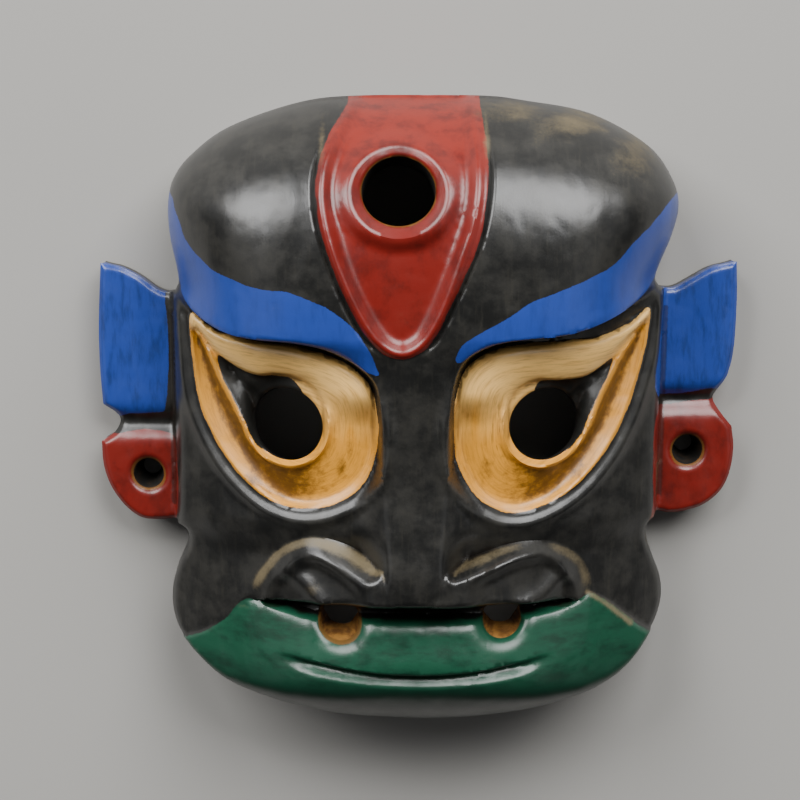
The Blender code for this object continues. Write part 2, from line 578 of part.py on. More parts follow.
def build_mask():
    """The whole mask as one closed mesh."""
    ring = outline_ring()
    front_holes = [hole_ring(name) for name in HOLES]
    flat, front_faces = triangulate([ring] + front_holes, front_points(ring, front_holes))
    heights = front_height(flat)
    ring_heights = heights[:len(ring)]

    middle_ring = ring_inwards(ring, SIDE_LEAN * ring_heights / 2)
    low_ring = ring_inwards(ring, SIDE_LEAN * ring_heights)
    back_ring = ring_inwards(ring, SIDE_LEAN * ring_heights + RIM_ROUND)
    back_holes = []
    for name, hole in zip(HOLES, front_holes):
        centre = hole.mean(axis=0, keepdims=True)
        depth = front_height(centre)[0] - hollow_height(centre)[0]
        back_holes.append(hole_ring(name, depth))
    back_flat, back_faces = triangulate([back_ring] + back_holes, back_points(back_ring, back_holes))
    back_heights = hollow_height(back_flat)
    back_heights[:len(ring)] = 0

    verts = [np.column_stack([flat, heights]),
             np.column_stack([middle_ring, ring_heights * 0.5]),
             np.column_stack([low_ring, np.full(len(ring), RIM_ROUND)]),
             np.column_stack([back_flat, back_heights])]
    starts = np.cumsum([0] + [len(v) for v in verts])
    faces = [tuple(face) for face in front_faces]
    faces += [tuple(starts[3] + face[::-1]) for face in back_faces]
    around = np.arange(len(ring))
    for upper, lower in ((0, 1), (1, 2), (2, 3)):
        faces += bridge(starts[upper] + around, starts[lower] + around)
    first = len(ring)
    for hole in front_holes:
        numbers = np.arange(first, first + len(hole))
        faces += bridge(numbers, starts[3] + numbers)
        first += len(hole)

    mesh = bpy.data.meshes.new("mask")
    mesh.from_pydata(np.concatenate(verts).tolist(), [], [tuple(int(i) for i in face) for face in faces])
    mesh.update()
    mesh.shade_smooth()
    mesh.set_sharp_from_angle(angle=SHARP_ANGLE)
    return mesh


def lacquered_wood():
    """Black lacquer over carved wood, the ground that the other colours are painted on."""
    material = bpy.data.materials.new("black_lacquer")
    material.use_nodes = True
    shader = material.node_tree.nodes["Principled BSDF"]
    shader.inputs["Base Color"].default_value = (0.022, 0.022, 0.021, 1)
    shader.inputs["Roughness"].default_value = 0.35
    shader.inputs["Metallic"].default_value = 0.0
    return material


def main():
    """Clears the scene and makes the mask."""
    for item in list(bpy.data.objects):
        bpy.data.objects.remove(item)
    mesh = build_mask()
    mesh.materials.append(lacquered_wood())
    mask = bpy.data.objects.new("mask", mesh)
    bpy.context.scene.collection.objects.link(mask)


main()
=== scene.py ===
# %% [markdown]
# # A carved and painted nuo mask
#
# The real mask is one block of wood. A carver saws the outline, cuts the face on the front with gouges and
# knives, and hollows the back so that it can be worn. Then it is lacquered black, and the features are
# painted with a brush in red, blue, ochre gold and green. Years of handling rub the edges and leave dirt in
# the hollows.
#
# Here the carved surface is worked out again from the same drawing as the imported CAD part, only finer, and
# with the marks of the tools. The paint is a shader that knows how far each spot is from the edge of each
# painted area, so its edges stay crisp and can be as ragged as a brush leaves them.

# %% Load the CAD part
import math

import bpy
import numpy as np
from mathutils import Matrix, Vector, noise
from mathutils.geometry import delaunay_2d_cdt


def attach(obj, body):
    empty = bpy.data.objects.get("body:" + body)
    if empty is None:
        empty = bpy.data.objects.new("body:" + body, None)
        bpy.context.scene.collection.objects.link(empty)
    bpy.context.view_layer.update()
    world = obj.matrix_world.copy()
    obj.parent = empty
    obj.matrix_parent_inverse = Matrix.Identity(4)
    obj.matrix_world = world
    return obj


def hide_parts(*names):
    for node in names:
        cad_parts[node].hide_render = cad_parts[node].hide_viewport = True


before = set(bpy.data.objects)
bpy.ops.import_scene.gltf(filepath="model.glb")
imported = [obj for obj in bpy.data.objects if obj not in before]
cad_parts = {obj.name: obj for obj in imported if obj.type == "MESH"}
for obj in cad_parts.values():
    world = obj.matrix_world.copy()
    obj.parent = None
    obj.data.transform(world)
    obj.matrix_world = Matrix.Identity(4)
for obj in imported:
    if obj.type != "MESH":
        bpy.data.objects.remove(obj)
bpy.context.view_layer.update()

# %% [markdown]
# ## The mask's own sizes
#
# These are the CAD part's sizes, so the fine surface lies on the solid, but for details of a millimetre or
# two that are carved finer here. The eye holes are 0.4 mm wider in radius, and the bores in the ears taper.
# The face is laid out on a drawing in millimetres, as a carver would trace it on the block: +X is the
# viewer's right and +Y the forehead.

# %% Sizes
# The mask's own sizes, in metres: BROW_HEIGHT is from the plane of the rim to the middle of the forehead
MASK_WIDTH = 0.240
MASK_HEIGHT = 0.232
BROW_HEIGHT = 0.079
WALL = 0.009
RIM_WIDTH = 0.010
RIM_ROUND = 0.0018
HOLLOW_DEPTH = 0.058
EYE_HOLE_RADIUS = 0.0128
THIRD_EYE_RADIUS = 0.0128
NOSTRIL_RADIUS = 0.0070
EAR_HOLE_RADIUS = 0.0058

# How many points the distances are worked out for at a time, how many points a hole's ring has, and how many
# spots are looked at in a circle round a point
POINTS_AT_ONCE = 120
HOLE_SIDES = 144
SPOTS_AROUND = 12

# The carver's drawing, in millimetres, with its middle at (0, 0)
DRAWN_WIDTH = 240.0
DRAWN_HEIGHT = 232.0
DRAWN_BROW = 79.0

print("mask", MASK_WIDTH, "by", MASK_HEIGHT, "m")

# %% [markdown]
# ## The drawing
#
# The outline is a row of runs that meet at corners, because the ears and lobes are sawn with straight cuts.
# The features are closed loops. A smooth curve goes through the points of each, so few points are enough.

# %% The outline
# The outline, clockwise as the viewer sees it, in runs that meet at corners
CROWN_OUTLINE = [
    (-90.5, 43.5), (-88.5, 48), (-89, 55), (-91, 66), (-91.5, 77), (-89.5, 86), (-83, 94.5), (-69, 104.5),
    (-43, 113.5), (-20, 116), (21, 116), (39, 114), (63, 109.2), (84, 97.7), (93, 85.5), (95, 76),
    (92.5, 65.5), (88.5, 55), (87.5, 49), (90.5, 44.5)]
RIGHT_EAR_TOP = [(90.5, 44.5), (96, 44.4), (103, 48.2), (110, 51.8), (119, 53.8)]
RIGHT_EAR_SIDE = [
    (119, 53.8), (119.5, 40), (119, 22), (117, 11.5), (113.5, 5), (112, 1), (114.5, -3.5), (119, -9)]
RIGHT_LOBE = [
    (119, -9), (120, -17), (119, -26), (116, -33.5), (110, -39), (103, -41.5), (96, -42.3), (90, -41)]
CHEEK_AND_CHIN = [
    (90, -41), (87, -44), (86.5, -49), (89, -57), (92, -65), (93, -73), (91.5, -80), (88.5, -85.5),
    (80.5, -95.5), (69, -103.5), (54, -109.5), (38, -113.2), (20, -115.4), (0, -116), (-28, -114.4),
    (-48, -110.5), (-62, -106), (-73, -101), (-83, -93.5), (-90, -86), (-93, -78), (-93, -69),
    (-90.5, -59.5), (-87, -51), (-87.5, -46), (-91, -44)]
LEFT_LOBE = [
    (-91, -44), (-98, -45), (-105.5, -44.5), (-112, -39.5), (-117, -32), (-119.5, -24), (-120, -15)]
LEFT_NOTCH = [(-120, -15), (-115, -11.5), (-113, -7.5), (-114.5, -4), (-119, -0.5)]
LEFT_EAR_SIDE = [(-119, -0.5), (-119.8, 14), (-119.8, 30), (-118.5, 53.3)]
LEFT_EAR_TOP = [(-118.5, 53.3), (-111, 51.8), (-104, 48.4), (-98, 44), (-94, 42.5), (-90.5, 43.5)]
OUTLINE_RUNS = [CROWN_OUTLINE, RIGHT_EAR_TOP, RIGHT_EAR_SIDE, RIGHT_LOBE, CHEEK_AND_CHIN,
                LEFT_LOBE, LEFT_NOTCH, LEFT_EAR_SIDE, LEFT_EAR_TOP]

# %% The edges of the carving
# The edges of the carving on the drawing
HIGH_GROUND = [
    (-104, 60), (-89.5, 52), (-85.5, 46), (-79.5, 41), (-70.5, 37), (-59, 35), (-45, 34.4), (-34, 32.4),
    (-26, 29), (-19.5, 24.5), (-14.8, 19), (-13.2, 10), (-12.8, 0), (-12.6, -12), (-11.8, -24), (-11, -34),
    (-10.5, -46), (-10, -75), (8, -75), (8, -46), (8.4, -34), (9.2, -24), (10.2, -12), (10.4, 0),
    (10.8, 10), (12, 19), (14.5, 26), (19.5, 31), (28, 34.6), (38.5, 36), (49, 36.7), (60, 39), (71.5, 43),
    (81.5, 48), (88, 52.5), (104, 62), (60, 160), (-60, 160)]
PANEL = [
    (-20, 126), (-26, 113), (-31.3, 105), (-34.6, 96.5), (-35.8, 87), (-34.6, 76.5), (-31.4, 65),
    (-27, 53.5), (-22, 43), (-17, 35.2), (-12, 30.6), (-6.7, 28.8), (-1.5, 30), (3.3, 33.8), (7.4, 40.4),
    (11.7, 49.5), (16.3, 59.5), (20.5, 70.5), (23, 82), (23.8, 93), (23.3, 103), (22, 113), (20, 126)]
LEFT_EYE_RIM = [
    (-82.5, 39), (-73.5, 34), (-60, 31.8), (-42, 30.4), (-28, 26.4), (-19.2, 20), (-15.2, 11), (-14.5, 0),
    (-16, -11), (-21.5, -20.6), (-31.5, -26.8), (-43, -29), (-54, -26.4), (-65, -18.6), (-74, -7),
    (-80, 6.5), (-82.5, 24)]
LEFT_EYELIDS = [
    (-80, 33), (-76.2, 28.8), (-72.3, 25), (-65, 21.2), (-57.4, 19.2), (-51.1, 20), (-43.9, 19.4),
    (-38, 16.6), (-33.8, 10.6), (-32.4, 4), (-33.6, -3.6), (-38.4, -9.8), (-46.4, -12.7), (-54.8, -10.6),
    (-60, -5.2), (-62.8, 1), (-67.7, 10.1), (-71.9, 17.5), (-74.9, 24), (-77.9, 29.6)]
RIGHT_EYE_RIM = [
    (84, 40), (75, 35), (64, 32), (50, 31.8), (36, 31.6), (25, 29.6), (17, 23.4), (13.2, 14), (12.2, 1),
    (13.8, -11), (19.4, -21.8), (27.6, -28.2), (37, -30), (48, -27), (59, -20.5), (69, -9.6), (76, 3),
    (81, 17.5), (83.6, 29)]
RIGHT_EYELIDS = [
    (78, 31), (73.6, 27), (69.2, 23.2), (61, 18.6), (51.5, 17.6), (41, 18.2), (34, 14.4), (30.6, 7),
    (30.4, -0.8), (32.8, -7), (38.2, -11.2), (45.4, -12.8), (53.8, -9.8), (59.8, -2.4), (65.4, 10.2),
    (70.2, 19.4), (74, 25.6)]
LEFT_NOSTRIL_WING = [
    (-11.2, -52.4), (-15.5, -48.8), (-19.5, -45.8), (-24, -42.8), (-29, -40.6), (-35, -39.2), (-41, -39.6),
    (-46.5, -42.2), (-51.8, -46.3), (-56, -51.4), (-59.6, -57), (-62, -64), (-66, -90), (-6, -90)]
RIGHT_NOSTRIL_WING = [
    (8.2, -52.6), (12.5, -50), (18, -47.2), (24, -44.8), (31, -42.4), (38.4, -41.3), (45.8, -42),
    (52.5, -44.6), (58, -48.2), (62.2, -53.4), (64.6, -60), (66, -66), (67, -90), (3, -90)]
MUZZLE = [
    (-110, -98), (-88, -87), (-80, -82.6), (-72, -76.5), (-67.7, -70.8), (-63.5, -66.9), (-60, -66.9),
    (-53.9, -68.2), (-46.8, -69.6), (-38, -71.1), (-20, -70.8), (0, -70.6), (15, -70.8), (26, -71.2),
    (40.5, -70.2), (51.4, -68.8), (59, -66.8), (64.2, -65), (71.3, -70.2), (79, -77.5), (89, -85.5),
    (110, -96), (70, -150), (-70, -150)]
MOUTH = [
    (-53, -85.9), (-43, -87.7), (-28.5, -89.8), (-14, -91.2), (0, -91.7), (18.5, -91), (37, -88.6),
    (51, -85.6)]
LEFT_LOBE_RIDGE = [(-47, -53), (-41, -57), (-35, -63.5)]
RIGHT_LOBE_RIDGE = [(53, -55), (46, -61.5), (38, -64.5)]

# %% The holes
# The holes: the centre on the drawing, the radius, the height as a share of the width, and how far the bore
# shifts towards the forehead for each unit that it goes in
HOLES = {
    "third_eye": ((-7.2, 86.1), THIRD_EYE_RADIUS, 0.89, -0.22),
    "left_eye": ((-47.0, 1.5), EYE_HOLE_RADIUS, 1.0, -0.2),
    "right_eye": ((45.0, 1.5), EYE_HOLE_RADIUS, 1.0, -0.2),
    "left_nostril": ((-28.7, -72.1), NOSTRIL_RADIUS, 1.0, 0.2),
    "right_nostril": ((30.6, -71.4), NOSTRIL_RADIUS, 1.0, 0.2),
    "left_ear": ((-102.3, -27.2), EAR_HOLE_RADIUS, 1.0, 0.0),
    "right_ear": ((102.3, -17.9), EAR_HOLE_RADIUS, 1.0, 0.0),
}

# %% [markdown]
# ## Curves and distances
#
# Everything on the face is made from one measure: how far a spot is from a line, and on which side. A
# groove is a dip where that distance is small, a wall is a height that changes over it, and a brush edge is
# where it is 0.

# %% Curves
def smooth_run(points, per_span=6, closed=False):
    """Points of a Catmull-Rom curve through the given ones."""
    knots = [np.array(p, float) for p in points]
    if closed:
        ring = [knots[-1]] + knots + knots[:2]
    else:
        ring = [2 * knots[0] - knots[1]] + knots + [2 * knots[-1] - knots[-2]]
    path = []
    for a, b, c, d in zip(ring, ring[1:], ring[2:], ring[3:]):
        for step in range(per_span):
            t = step / per_span
            path.append(0.5 * (2 * b + (c - a) * t + (2 * a - 5 * b + 4 * c - d) * t ** 2
                               + (3 * b - a - 3 * c + d) * t ** 3))
    if not closed:
        path.append(knots[-1])
    return np.array(path)


def evenly_spaced(path, spacing):
    """The same path with its points about one spacing apart, both ends kept."""
    steps = np.hypot(*np.diff(path, axis=0).T)
    run = np.concatenate([[0.0], np.cumsum(steps)])
    count = max(1, round(run[-1] / spacing))
    stations = np.linspace(0.0, run[-1], count + 1)
    return np.column_stack([np.interp(stations, run, path[:, axis]) for axis in (0, 1)])

# %% Distances
def distance_inside(points, loop):
    """How far each point is from a closed loop, positive inside it."""
    loop_x, loop_y = loop.T
    step_x, step_y = (np.roll(loop, -1, axis=0) - loop).T
    length = np.maximum(step_x ** 2 + step_y ** 2, 1e-12)
    slope = step_x / np.where(np.abs(step_y) < 1e-12, 1e-12, step_y)
    result = np.empty(len(points))
    for first in range(0, len(points), POINTS_AT_ONCE):
        x, y = points[first:first + POINTS_AT_ONCE, :, None].transpose(1, 0, 2)
        right, up = x - loop_x, y - loop_y
        along = np.clip((right * step_x + up * step_y) / length, 0, 1)
        away = np.sqrt(((right - along * step_x) ** 2 + (up - along * step_y) ** 2).min(1))
        crosses = (loop_y > y) != (loop_y + step_y > y)
        inside = (crosses & (right < up * slope)).sum(1) % 2 == 1
        result[first:first + POINTS_AT_ONCE] = np.where(inside, away, -away)
    return result


def soft_distance(points, loop):
    """The distance inside a loop with no creases along its middle, as a heavy body would feel its walls."""
    exact = distance_inside(points, loop)
    closed = evenly_spaced(np.vstack([loop, loop[:1]]), 3.0)[:-1]
    spacing = np.hypot(*(closed[1] - closed[0]))
    straight_wall = 3 * math.pi / 8
    soft = np.empty(len(points))
    for first in range(0, len(points), POINTS_AT_ONCE):
        x, y = points[first:first + POINTS_AT_ONCE, :, None].transpose(1, 0, 2)
        gap = (x - closed[:, 0]) ** 2 + (y - closed[:, 1]) ** 2 + 1e-6
        pull = (1 / (gap * gap * gap)).sum(1)
        soft[first:first + POINTS_AT_ONCE] = (spacing * pull / straight_wall) ** -0.2
    return exact + (soft - exact) * ease(exact, 3, 12)


def distance_to_run(points, run):
    """How far each point is from an open run of points."""
    there_and_back = np.concatenate([run, run[-2:0:-1]])
    return np.abs(distance_inside(points, there_and_back))

# %% Soft steps and blends
def ease(value, low, high):
    """0 below low and 1 above high, with a soft start and end."""
    t = np.clip((value - low) / (high - low), 0, 1)
    return t * t * (3 - 2 * t)


def size_along(position, sizes):
    """A size read from a smooth curve through a list of (position, size)."""
    curve = smooth_run(sizes)
    return np.interp(position, curve[:, 0], curve[:, 1])


def lower_of(a, b, blend):
    """The lower of two surfaces, rounded where they meet."""
    share = np.clip(0.5 + 0.5 * (b - a) / blend, 0, 1)
    return b + (a - b) * share - blend * share * (1 - share)


def higher_of(a, b, blend):
    """The higher of two surfaces, with a hollow fillet where they meet."""
    return -lower_of(-a, -b, blend)


def hump(distance, width):
    """A round ridge, 1 at its line and gone about twice its width away."""
    return np.exp(-(distance / width) ** 2)

# %% Make the curves
OUTLINE = np.concatenate([smooth_run(run)[:-1] for run in OUTLINE_RUNS])
HEAD = np.concatenate([smooth_run(CROWN_OUTLINE), smooth_run(CHEEK_AND_CHIN)])
SHAPES = {name: smooth_run(points, closed=True) for name, points in {
    "high": HIGH_GROUND, "panel": PANEL, "muzzle": MUZZLE,
    "left_rim": LEFT_EYE_RIM, "right_rim": RIGHT_EYE_RIM,
    "left_lids": LEFT_EYELIDS, "right_lids": RIGHT_EYELIDS,
    "left_wing": LEFT_NOSTRIL_WING, "right_wing": RIGHT_NOSTRIL_WING}.items()}
MOUTH_LINE = smooth_run(MOUTH)


def on_drawing(hole):
    """A hole's centre and radius on the drawing."""
    return HOLES[hole][0], HOLES[hole][1] * DRAWN_WIDTH / MASK_WIDTH


print("outline of", len(OUTLINE), "points and", len(SHAPES), "loops")

# %% [markdown]
# ## The block and the middle face
#
# The carver first rounds the block over from its edge, then cuts the eyes and cheeks back to a lower level,
# so the brows and the bridge of the nose stay standing. The block's height is read from smooth curves along
# y.

# %% Heights of the block
# What changes from the chin up to the crown, as (y, size): the height of the block's edge, the height of
# its middle line, and how wide the wall is that drops from the brows and the bridge of the nose
EDGE_HEIGHTS = [
    (-120, 37), (-86, 31), (-64, 27), (-42, 20.5), (0, 19), (38, 20.5), (60, 26), (88, 24), (124, 14)]
MIDDLE_LINE = [
    (-80, 73), (-56, 76.5), (-38, 75), (-18, 73), (4, 74), (24, 76), (44, 78), (90, 78.2), (130, 78.2)]
WALL_WIDTHS = [
    (-90, 9), (-62, 9), (-46, 10), (-32, 15), (-14, 3.4), (0, 2.2), (12, 2.4), (26, 3), (48, 3.4), (70, 7)]

# The block: how far in from its edge it has rounded over, how round its shoulder and the nose's bridge are,
# where the bridge's roundness ends towards the forehead, and over what distance it does
ROUNDING_REACH = 62.0
SHOULDER_FULLNESS = (2.6, 0.6)
BRIDGE_ROUND = 0.010
BRIDGE_TOP = 36.0
BRIDGE_FADE = 16.0

# The wall under the brows is a mix of a straight drop and one rounded at its top and foot. This is the share
# of the straight one
WALL_STRAIGHT = 0.6

# The middle face: its level at the eyes, where its middle is, how far it is flat to each side, how fast it
# falls away from there, how much lower it is on the cheeks, and how softly it meets the rounded block
EYE_LEVEL = 64.5
NOSE_MIDDLE = -1.3
FLAT_HALF_WIDTH = 16.0
SIDE_FALL = 0.0062
CHEEK_DROP = 4.5
MIDDLE_BLEND = 6.0


def rounded_block(inward, edge, top):
    """The block rounded over from its edge up to the given top, and falling steeply outside it."""
    share = np.clip(inward / ROUNDING_REACH, 0, 1)
    steep, full = SHOULDER_FULLNESS
    return edge + (top - edge) * (1 - (1 - share) ** steep) ** full + 5 * np.minimum(inward, 0)


def middle_face(points, block):
    """The level that the eyes and cheeks are cut back to."""
    sideways = np.maximum(np.abs(points[:, 0] - NOSE_MIDDLE) - FLAT_HALF_WIDTH, 0)
    level = EYE_LEVEL - SIDE_FALL * sideways ** 2 - CHEEK_DROP * ease(-points[:, 1], 34, 50)
    return lower_of(level, block, MIDDLE_BLEND)


# %% [markdown]
# ## The eyes
#
# Each eye is a painted rim with a channel cut along it, two lids that meet in a point at the outer corner,
# and an eyeball with the hole that the wearer looks through. A ridge of cheek lies under the rim.

# %% The eyes
# The rim: the swell of its upper band and the power that moves the swell out to the edge, the lip and the
# channel of its lower band, and the raised edge of the lower lid
BAND_SWELL = 4.2
BAND_SHIFT = 0.65
RIM_LIP = 0.9
RIM_LIP_IN = 0.9
RIM_LIP_WIDTH = 1.1
RIM_CHANNEL = 3.4
LID_EDGE = 2.0

# The ridge of the cheek: its height, how far outside the rim it runs, and its width
CHEEK_RIDGE = 1.7
CHEEK_RIDGE_OUT = 4.4
CHEEK_RIDGE_WIDTH = 2.1

# The eyeball: its depth, the bevel round its hole, how much deeper its lower half lies, how wide the wall
# down to it is, and how much wider in the outer corner
EYEBALL_DEPTH = 2.5
EYEBALL_BEVEL = 3.2
EYEBALL_BEVEL_WIDTH = 9.0
LOWER_EYEBALL = 2.0
EYE_WALL = 1.4
CORNER_WALL = 6.0

# The direction from the hole to the corner where the lids meet, outwards and up
CORNER_OUT = 0.73
CORNER_UP = 0.68


def eye_places(points, side):
    """Where points lie in one eye: outwards and up from its hole, inside the rim and the lids, and the share
    of the way across from the rim to the lids."""
    hole_x, hole_y = HOLES[side + "_eye"][0]
    outward = (points[:, 0] - hole_x) * (-1 if side == "left" else 1)
    upward = points[:, 1] - hole_y
    from_rim = distance_inside(points, SHAPES[side + "_rim"])
    into_lids = distance_inside(points, SHAPES[side + "_lids"])
    across = np.clip(from_rim / np.maximum(from_rim - into_lids, 0.1), 0, 1)
    return outward, upward, from_rim, into_lids, across


def below_corner(outward, upward):
    """How far points lie below the line from the hole to the corner where the lids meet, in millimetres."""
    return CORNER_UP * outward - CORNER_OUT * upward


def below_lids(outward, upward):
    """1 on the side of the lower lid and 0 on the side of the upper one."""
    beside = ease(outward, 2, 14)
    lower_side = ease(below_corner(outward, upward), -1.5, 2.5)
    return beside * lower_side + (1 - beside) * ease(10 - upward, -4, 10)


def eye(points, surface, side):
    """One eye: a ridge of cheek, the painted rim with its channel and lids, and the eyeball."""
    radius = on_drawing(side + "_eye")[1]
    outward, upward, from_rim, into_lids, across = eye_places(points, side)
    below = below_lids(outward, upward)
    upper_band = BAND_SWELL * np.sin(math.pi * across ** BAND_SHIFT) ** 0.6
    lid_width = 1.0 + 1.6 * ease(outward, 8, 26)
    raised = RIM_LIP * hump(from_rim - RIM_LIP_IN, RIM_LIP_WIDTH)
    raised = raised + LID_EDGE * hump(into_lids + 0.45 * lid_width, lid_width)
    depth = RIM_CHANNEL * (1 - 0.45 * ease(-outward, 2, 14))
    shift = 0.45 + 1.2 * ease(outward, 0, 21)
    channel = raised - depth * np.sin(math.pi * across ** shift) ** 1.1
    band = (upper_band * (1 - below) + channel * below) * ease(from_rim, -0.4, 0.4)
    cheek = CHEEK_RIDGE * hump(from_rim + CHEEK_RIDGE_OUT, CHEEK_RIDGE_WIDTH)
    surface = surface + np.where(from_rim > 0, band, below * cheek)
    from_hole = np.hypot(outward, upward)
    bevel = EYEBALL_BEVEL * (1 - ease(from_hole, radius, radius + EYEBALL_BEVEL_WIDTH)) * ease(outward, -4, 8)
    lower_half = LOWER_EYEBALL * below * ease(outward, 0, 10)
    eyeball = EYEBALL_DEPTH * (1 - 0.5 * ease(-outward, 3, 11)) + bevel + lower_half
    wall = EYE_WALL + CORNER_WALL * ease(outward, 8, 16) * ease(below_corner(outward, upward), 0, 3)
    beside_hole = 1 - ease(-upward, 3, 10) * (1 - ease(outward, 11, 16))
    return surface - eyeball * beside_hole * ease(into_lids, -0.3, wall)


# %% [markdown]
# ## The nose, the muzzle and the mouth
#
# The wings of the nose rise over the cheeks with a crisp crest. Under them a ledge is cut back to the
# muzzle, which has a bevel along its top, two nostrils and the long cut of the mouth.

# %% The nose
# The nose: its level, how round it is, how wide the sloped upper band of each wing is at each x, the scoop
# under the crest, the small ridge in it, how round the crest is, and where the nose drops to the muzzle
NOSE_LEVEL = 76.4
NOSE_ROUND = 0.0078
WING_BANDS = [
    (-66, 5), (-56, 5.6), (-50, 5.2), (-44, 5.2), (-36, 6), (-28, 6.6), (-21, 5.8), (-15, 3.6), (-10, 1.6),
    (7, 1.4), (13, 2.4), (20, 3.4), (28, 4), (36, 3.8), (44, 3.6), (50, 4.6), (56, 6.6), (66, 7.5)]
WING_SCOOP = 3.4
WING_RIDGE = 2.4
WING_RIDGE_WIDTH = 3.8
CREST_ROUND = 0.3
NOSE_BOTTOM = -60.3
NOSE_BOTTOM_BEND = 0.0017
NOSE_FOOT = -69.0


def above_nose_bottom(points):
    """1 on the nose and 0 at its foot, falling over the nose's lower edge."""
    bottom = NOSE_BOTTOM - NOSE_BOTTOM_BEND * points[:, 0] ** 2
    return ease((points[:, 1] - NOSE_FOOT) / np.maximum(bottom - NOSE_FOOT, 2.5), 0, 1)


def nostril_wing(points, surface, side):
    """One side of the nose: a sloped upper band, a crisp crest and a scooped face with a small ridge."""
    inward = distance_inside(points, SHAPES[side + "_wing"])
    ridge = smooth_run(LEFT_LOBE_RIDGE if side == "left" else RIGHT_LOBE_RIDGE)
    band = size_along(points[:, 0], WING_BANDS)
    face = NOSE_LEVEL - NOSE_ROUND * points[:, 0] ** 2
    scoop = WING_SCOOP * ease(inward - band, 0.3, 6) * ease(np.abs(points[:, 0]), 16, 26)
    small_ridge = WING_RIDGE * hump(distance_to_run(points, ridge), WING_RIDGE_WIDTH)
    risen = np.maximum(lower_of(inward / band, 1.0, CREST_ROUND), 0)
    return surface + (face - scoop + small_ridge - surface) * risen


# %% The muzzle
# The ledge under the nose: its level, how softly it meets the face, and between what distances from the
# middle it ends
LEDGE_LEVEL = 56.0
LEDGE_BLEND = 4.0
LEDGE_ENDS = (57.0, 64.0)

# The muzzle: its level, how round it and the ledge are, how softly it meets the rounded block, the lip and
# the slope along its upper edge, and how much of both is left at each distance from the middle
MUZZLE_LEVEL = 67.5
MUZZLE_ROUND = 0.0046
MUZZLE_BLEND = 5.0
MUZZLE_LIP = 2.5
MUZZLE_LIP_WIDTH = 6.0
MUZZLE_SLOPE = 3.4
MUZZLE_SLOPE_WIDTH = 20.0
MUZZLE_FADES = [(0, 1), (30, 0.9), (60, 0.55), (88, 0.1), (120, 0.1)]

# The bevel below each nostril, and the cut of the mouth: how deep it is, how far it reaches above and below
# its line, and between what distances from the middle it dies away
NOSTRIL_BEVEL = 2.6
NOSTRIL_BEVEL_WIDTH = 5.5
MOUTH_DEPTH = 3.2
MOUTH_ABOVE = 2.3
MOUTH_BELOW = 4.0
MOUTH_FULL = 34.0
MOUTH_END = 53.0


def muzzle(points, block, inward):
    """The muzzle: a bevel under the nose, two nostrils with their bevels, and the cut of the mouth."""
    x, y = points.T
    fade = size_along(np.abs(x), MUZZLE_FADES)
    lip = MUZZLE_LIP * (1 - np.clip(inward / MUZZLE_LIP_WIDTH, 0, 1)) ** 2.5
    slope = MUZZLE_SLOPE * (1 - ease(inward, 0, MUZZLE_SLOPE_WIDTH))
    surface = lower_of(MUZZLE_LEVEL - MUZZLE_ROUND * x ** 2 - fade * (lip + slope), block, MUZZLE_BLEND)
    for name in ("left_nostril", "right_nostril"):
        (hole_x, hole_y), radius = on_drawing(name)
        from_hole = np.hypot(x - hole_x, y - hole_y)
        bevel = NOSTRIL_BEVEL * (1 - np.clip((from_hole - radius) / NOSTRIL_BEVEL_WIDTH, 0, 1)) ** 2.4
        surface = surface - bevel * ease(hole_y + 6 - y, 0, 6)
    above_mouth = y - np.interp(x, MOUTH_LINE[:, 0], MOUTH_LINE[:, 1])
    reach = np.where(above_mouth > 0, MOUTH_ABOVE, MOUTH_BELOW)
    cut = 1 - ease(distance_to_run(points, MOUTH_LINE), 0, reach)
    return surface - MOUTH_DEPTH * cut * (1 - ease(np.abs(x - NOSE_MIDDLE), MOUTH_FULL, MOUTH_END))


# %% [markdown]
# ## The forehead's panel and the ears
#
# The red panel is dished inside a raised rim, with a V-cut groove round it and a collar round the third
# eye. The ears are flat plates at the back of the block, each with a trough between the ear and its lobe.

# %% The panel
# The forehead's panel: its dish and over what distance that drops, and its raised rim, which lies a little
# farther in on the right
PANEL_DISH = 2.8
PANEL_DISH_EDGE = (0.6, 5.0)
PANEL_RIM = 1.4
PANEL_RIM_WIDTH = 1.7
PANEL_RIMS_IN = (1.9, 3.4)

# The groove round the panel: its depth and width, where it ends towards the crown and over what distance it
# fades, and between what heights it dies away at the panel's foot
PANEL_GROOVE = 1.3
PANEL_GROOVE_WIDTH = 1.1
GROOVE_TOP = 108.0
GROOVE_FADE = 16.0
GROOVE_FOOT = (29.0, 36.0)

# The collar of the third eye: its width, how far the dish rises to it, and the bevel in it
COLLAR_WIDTH = 4.2
COLLAR_REACH = 11.0
COLLAR_BEVEL = 3.4


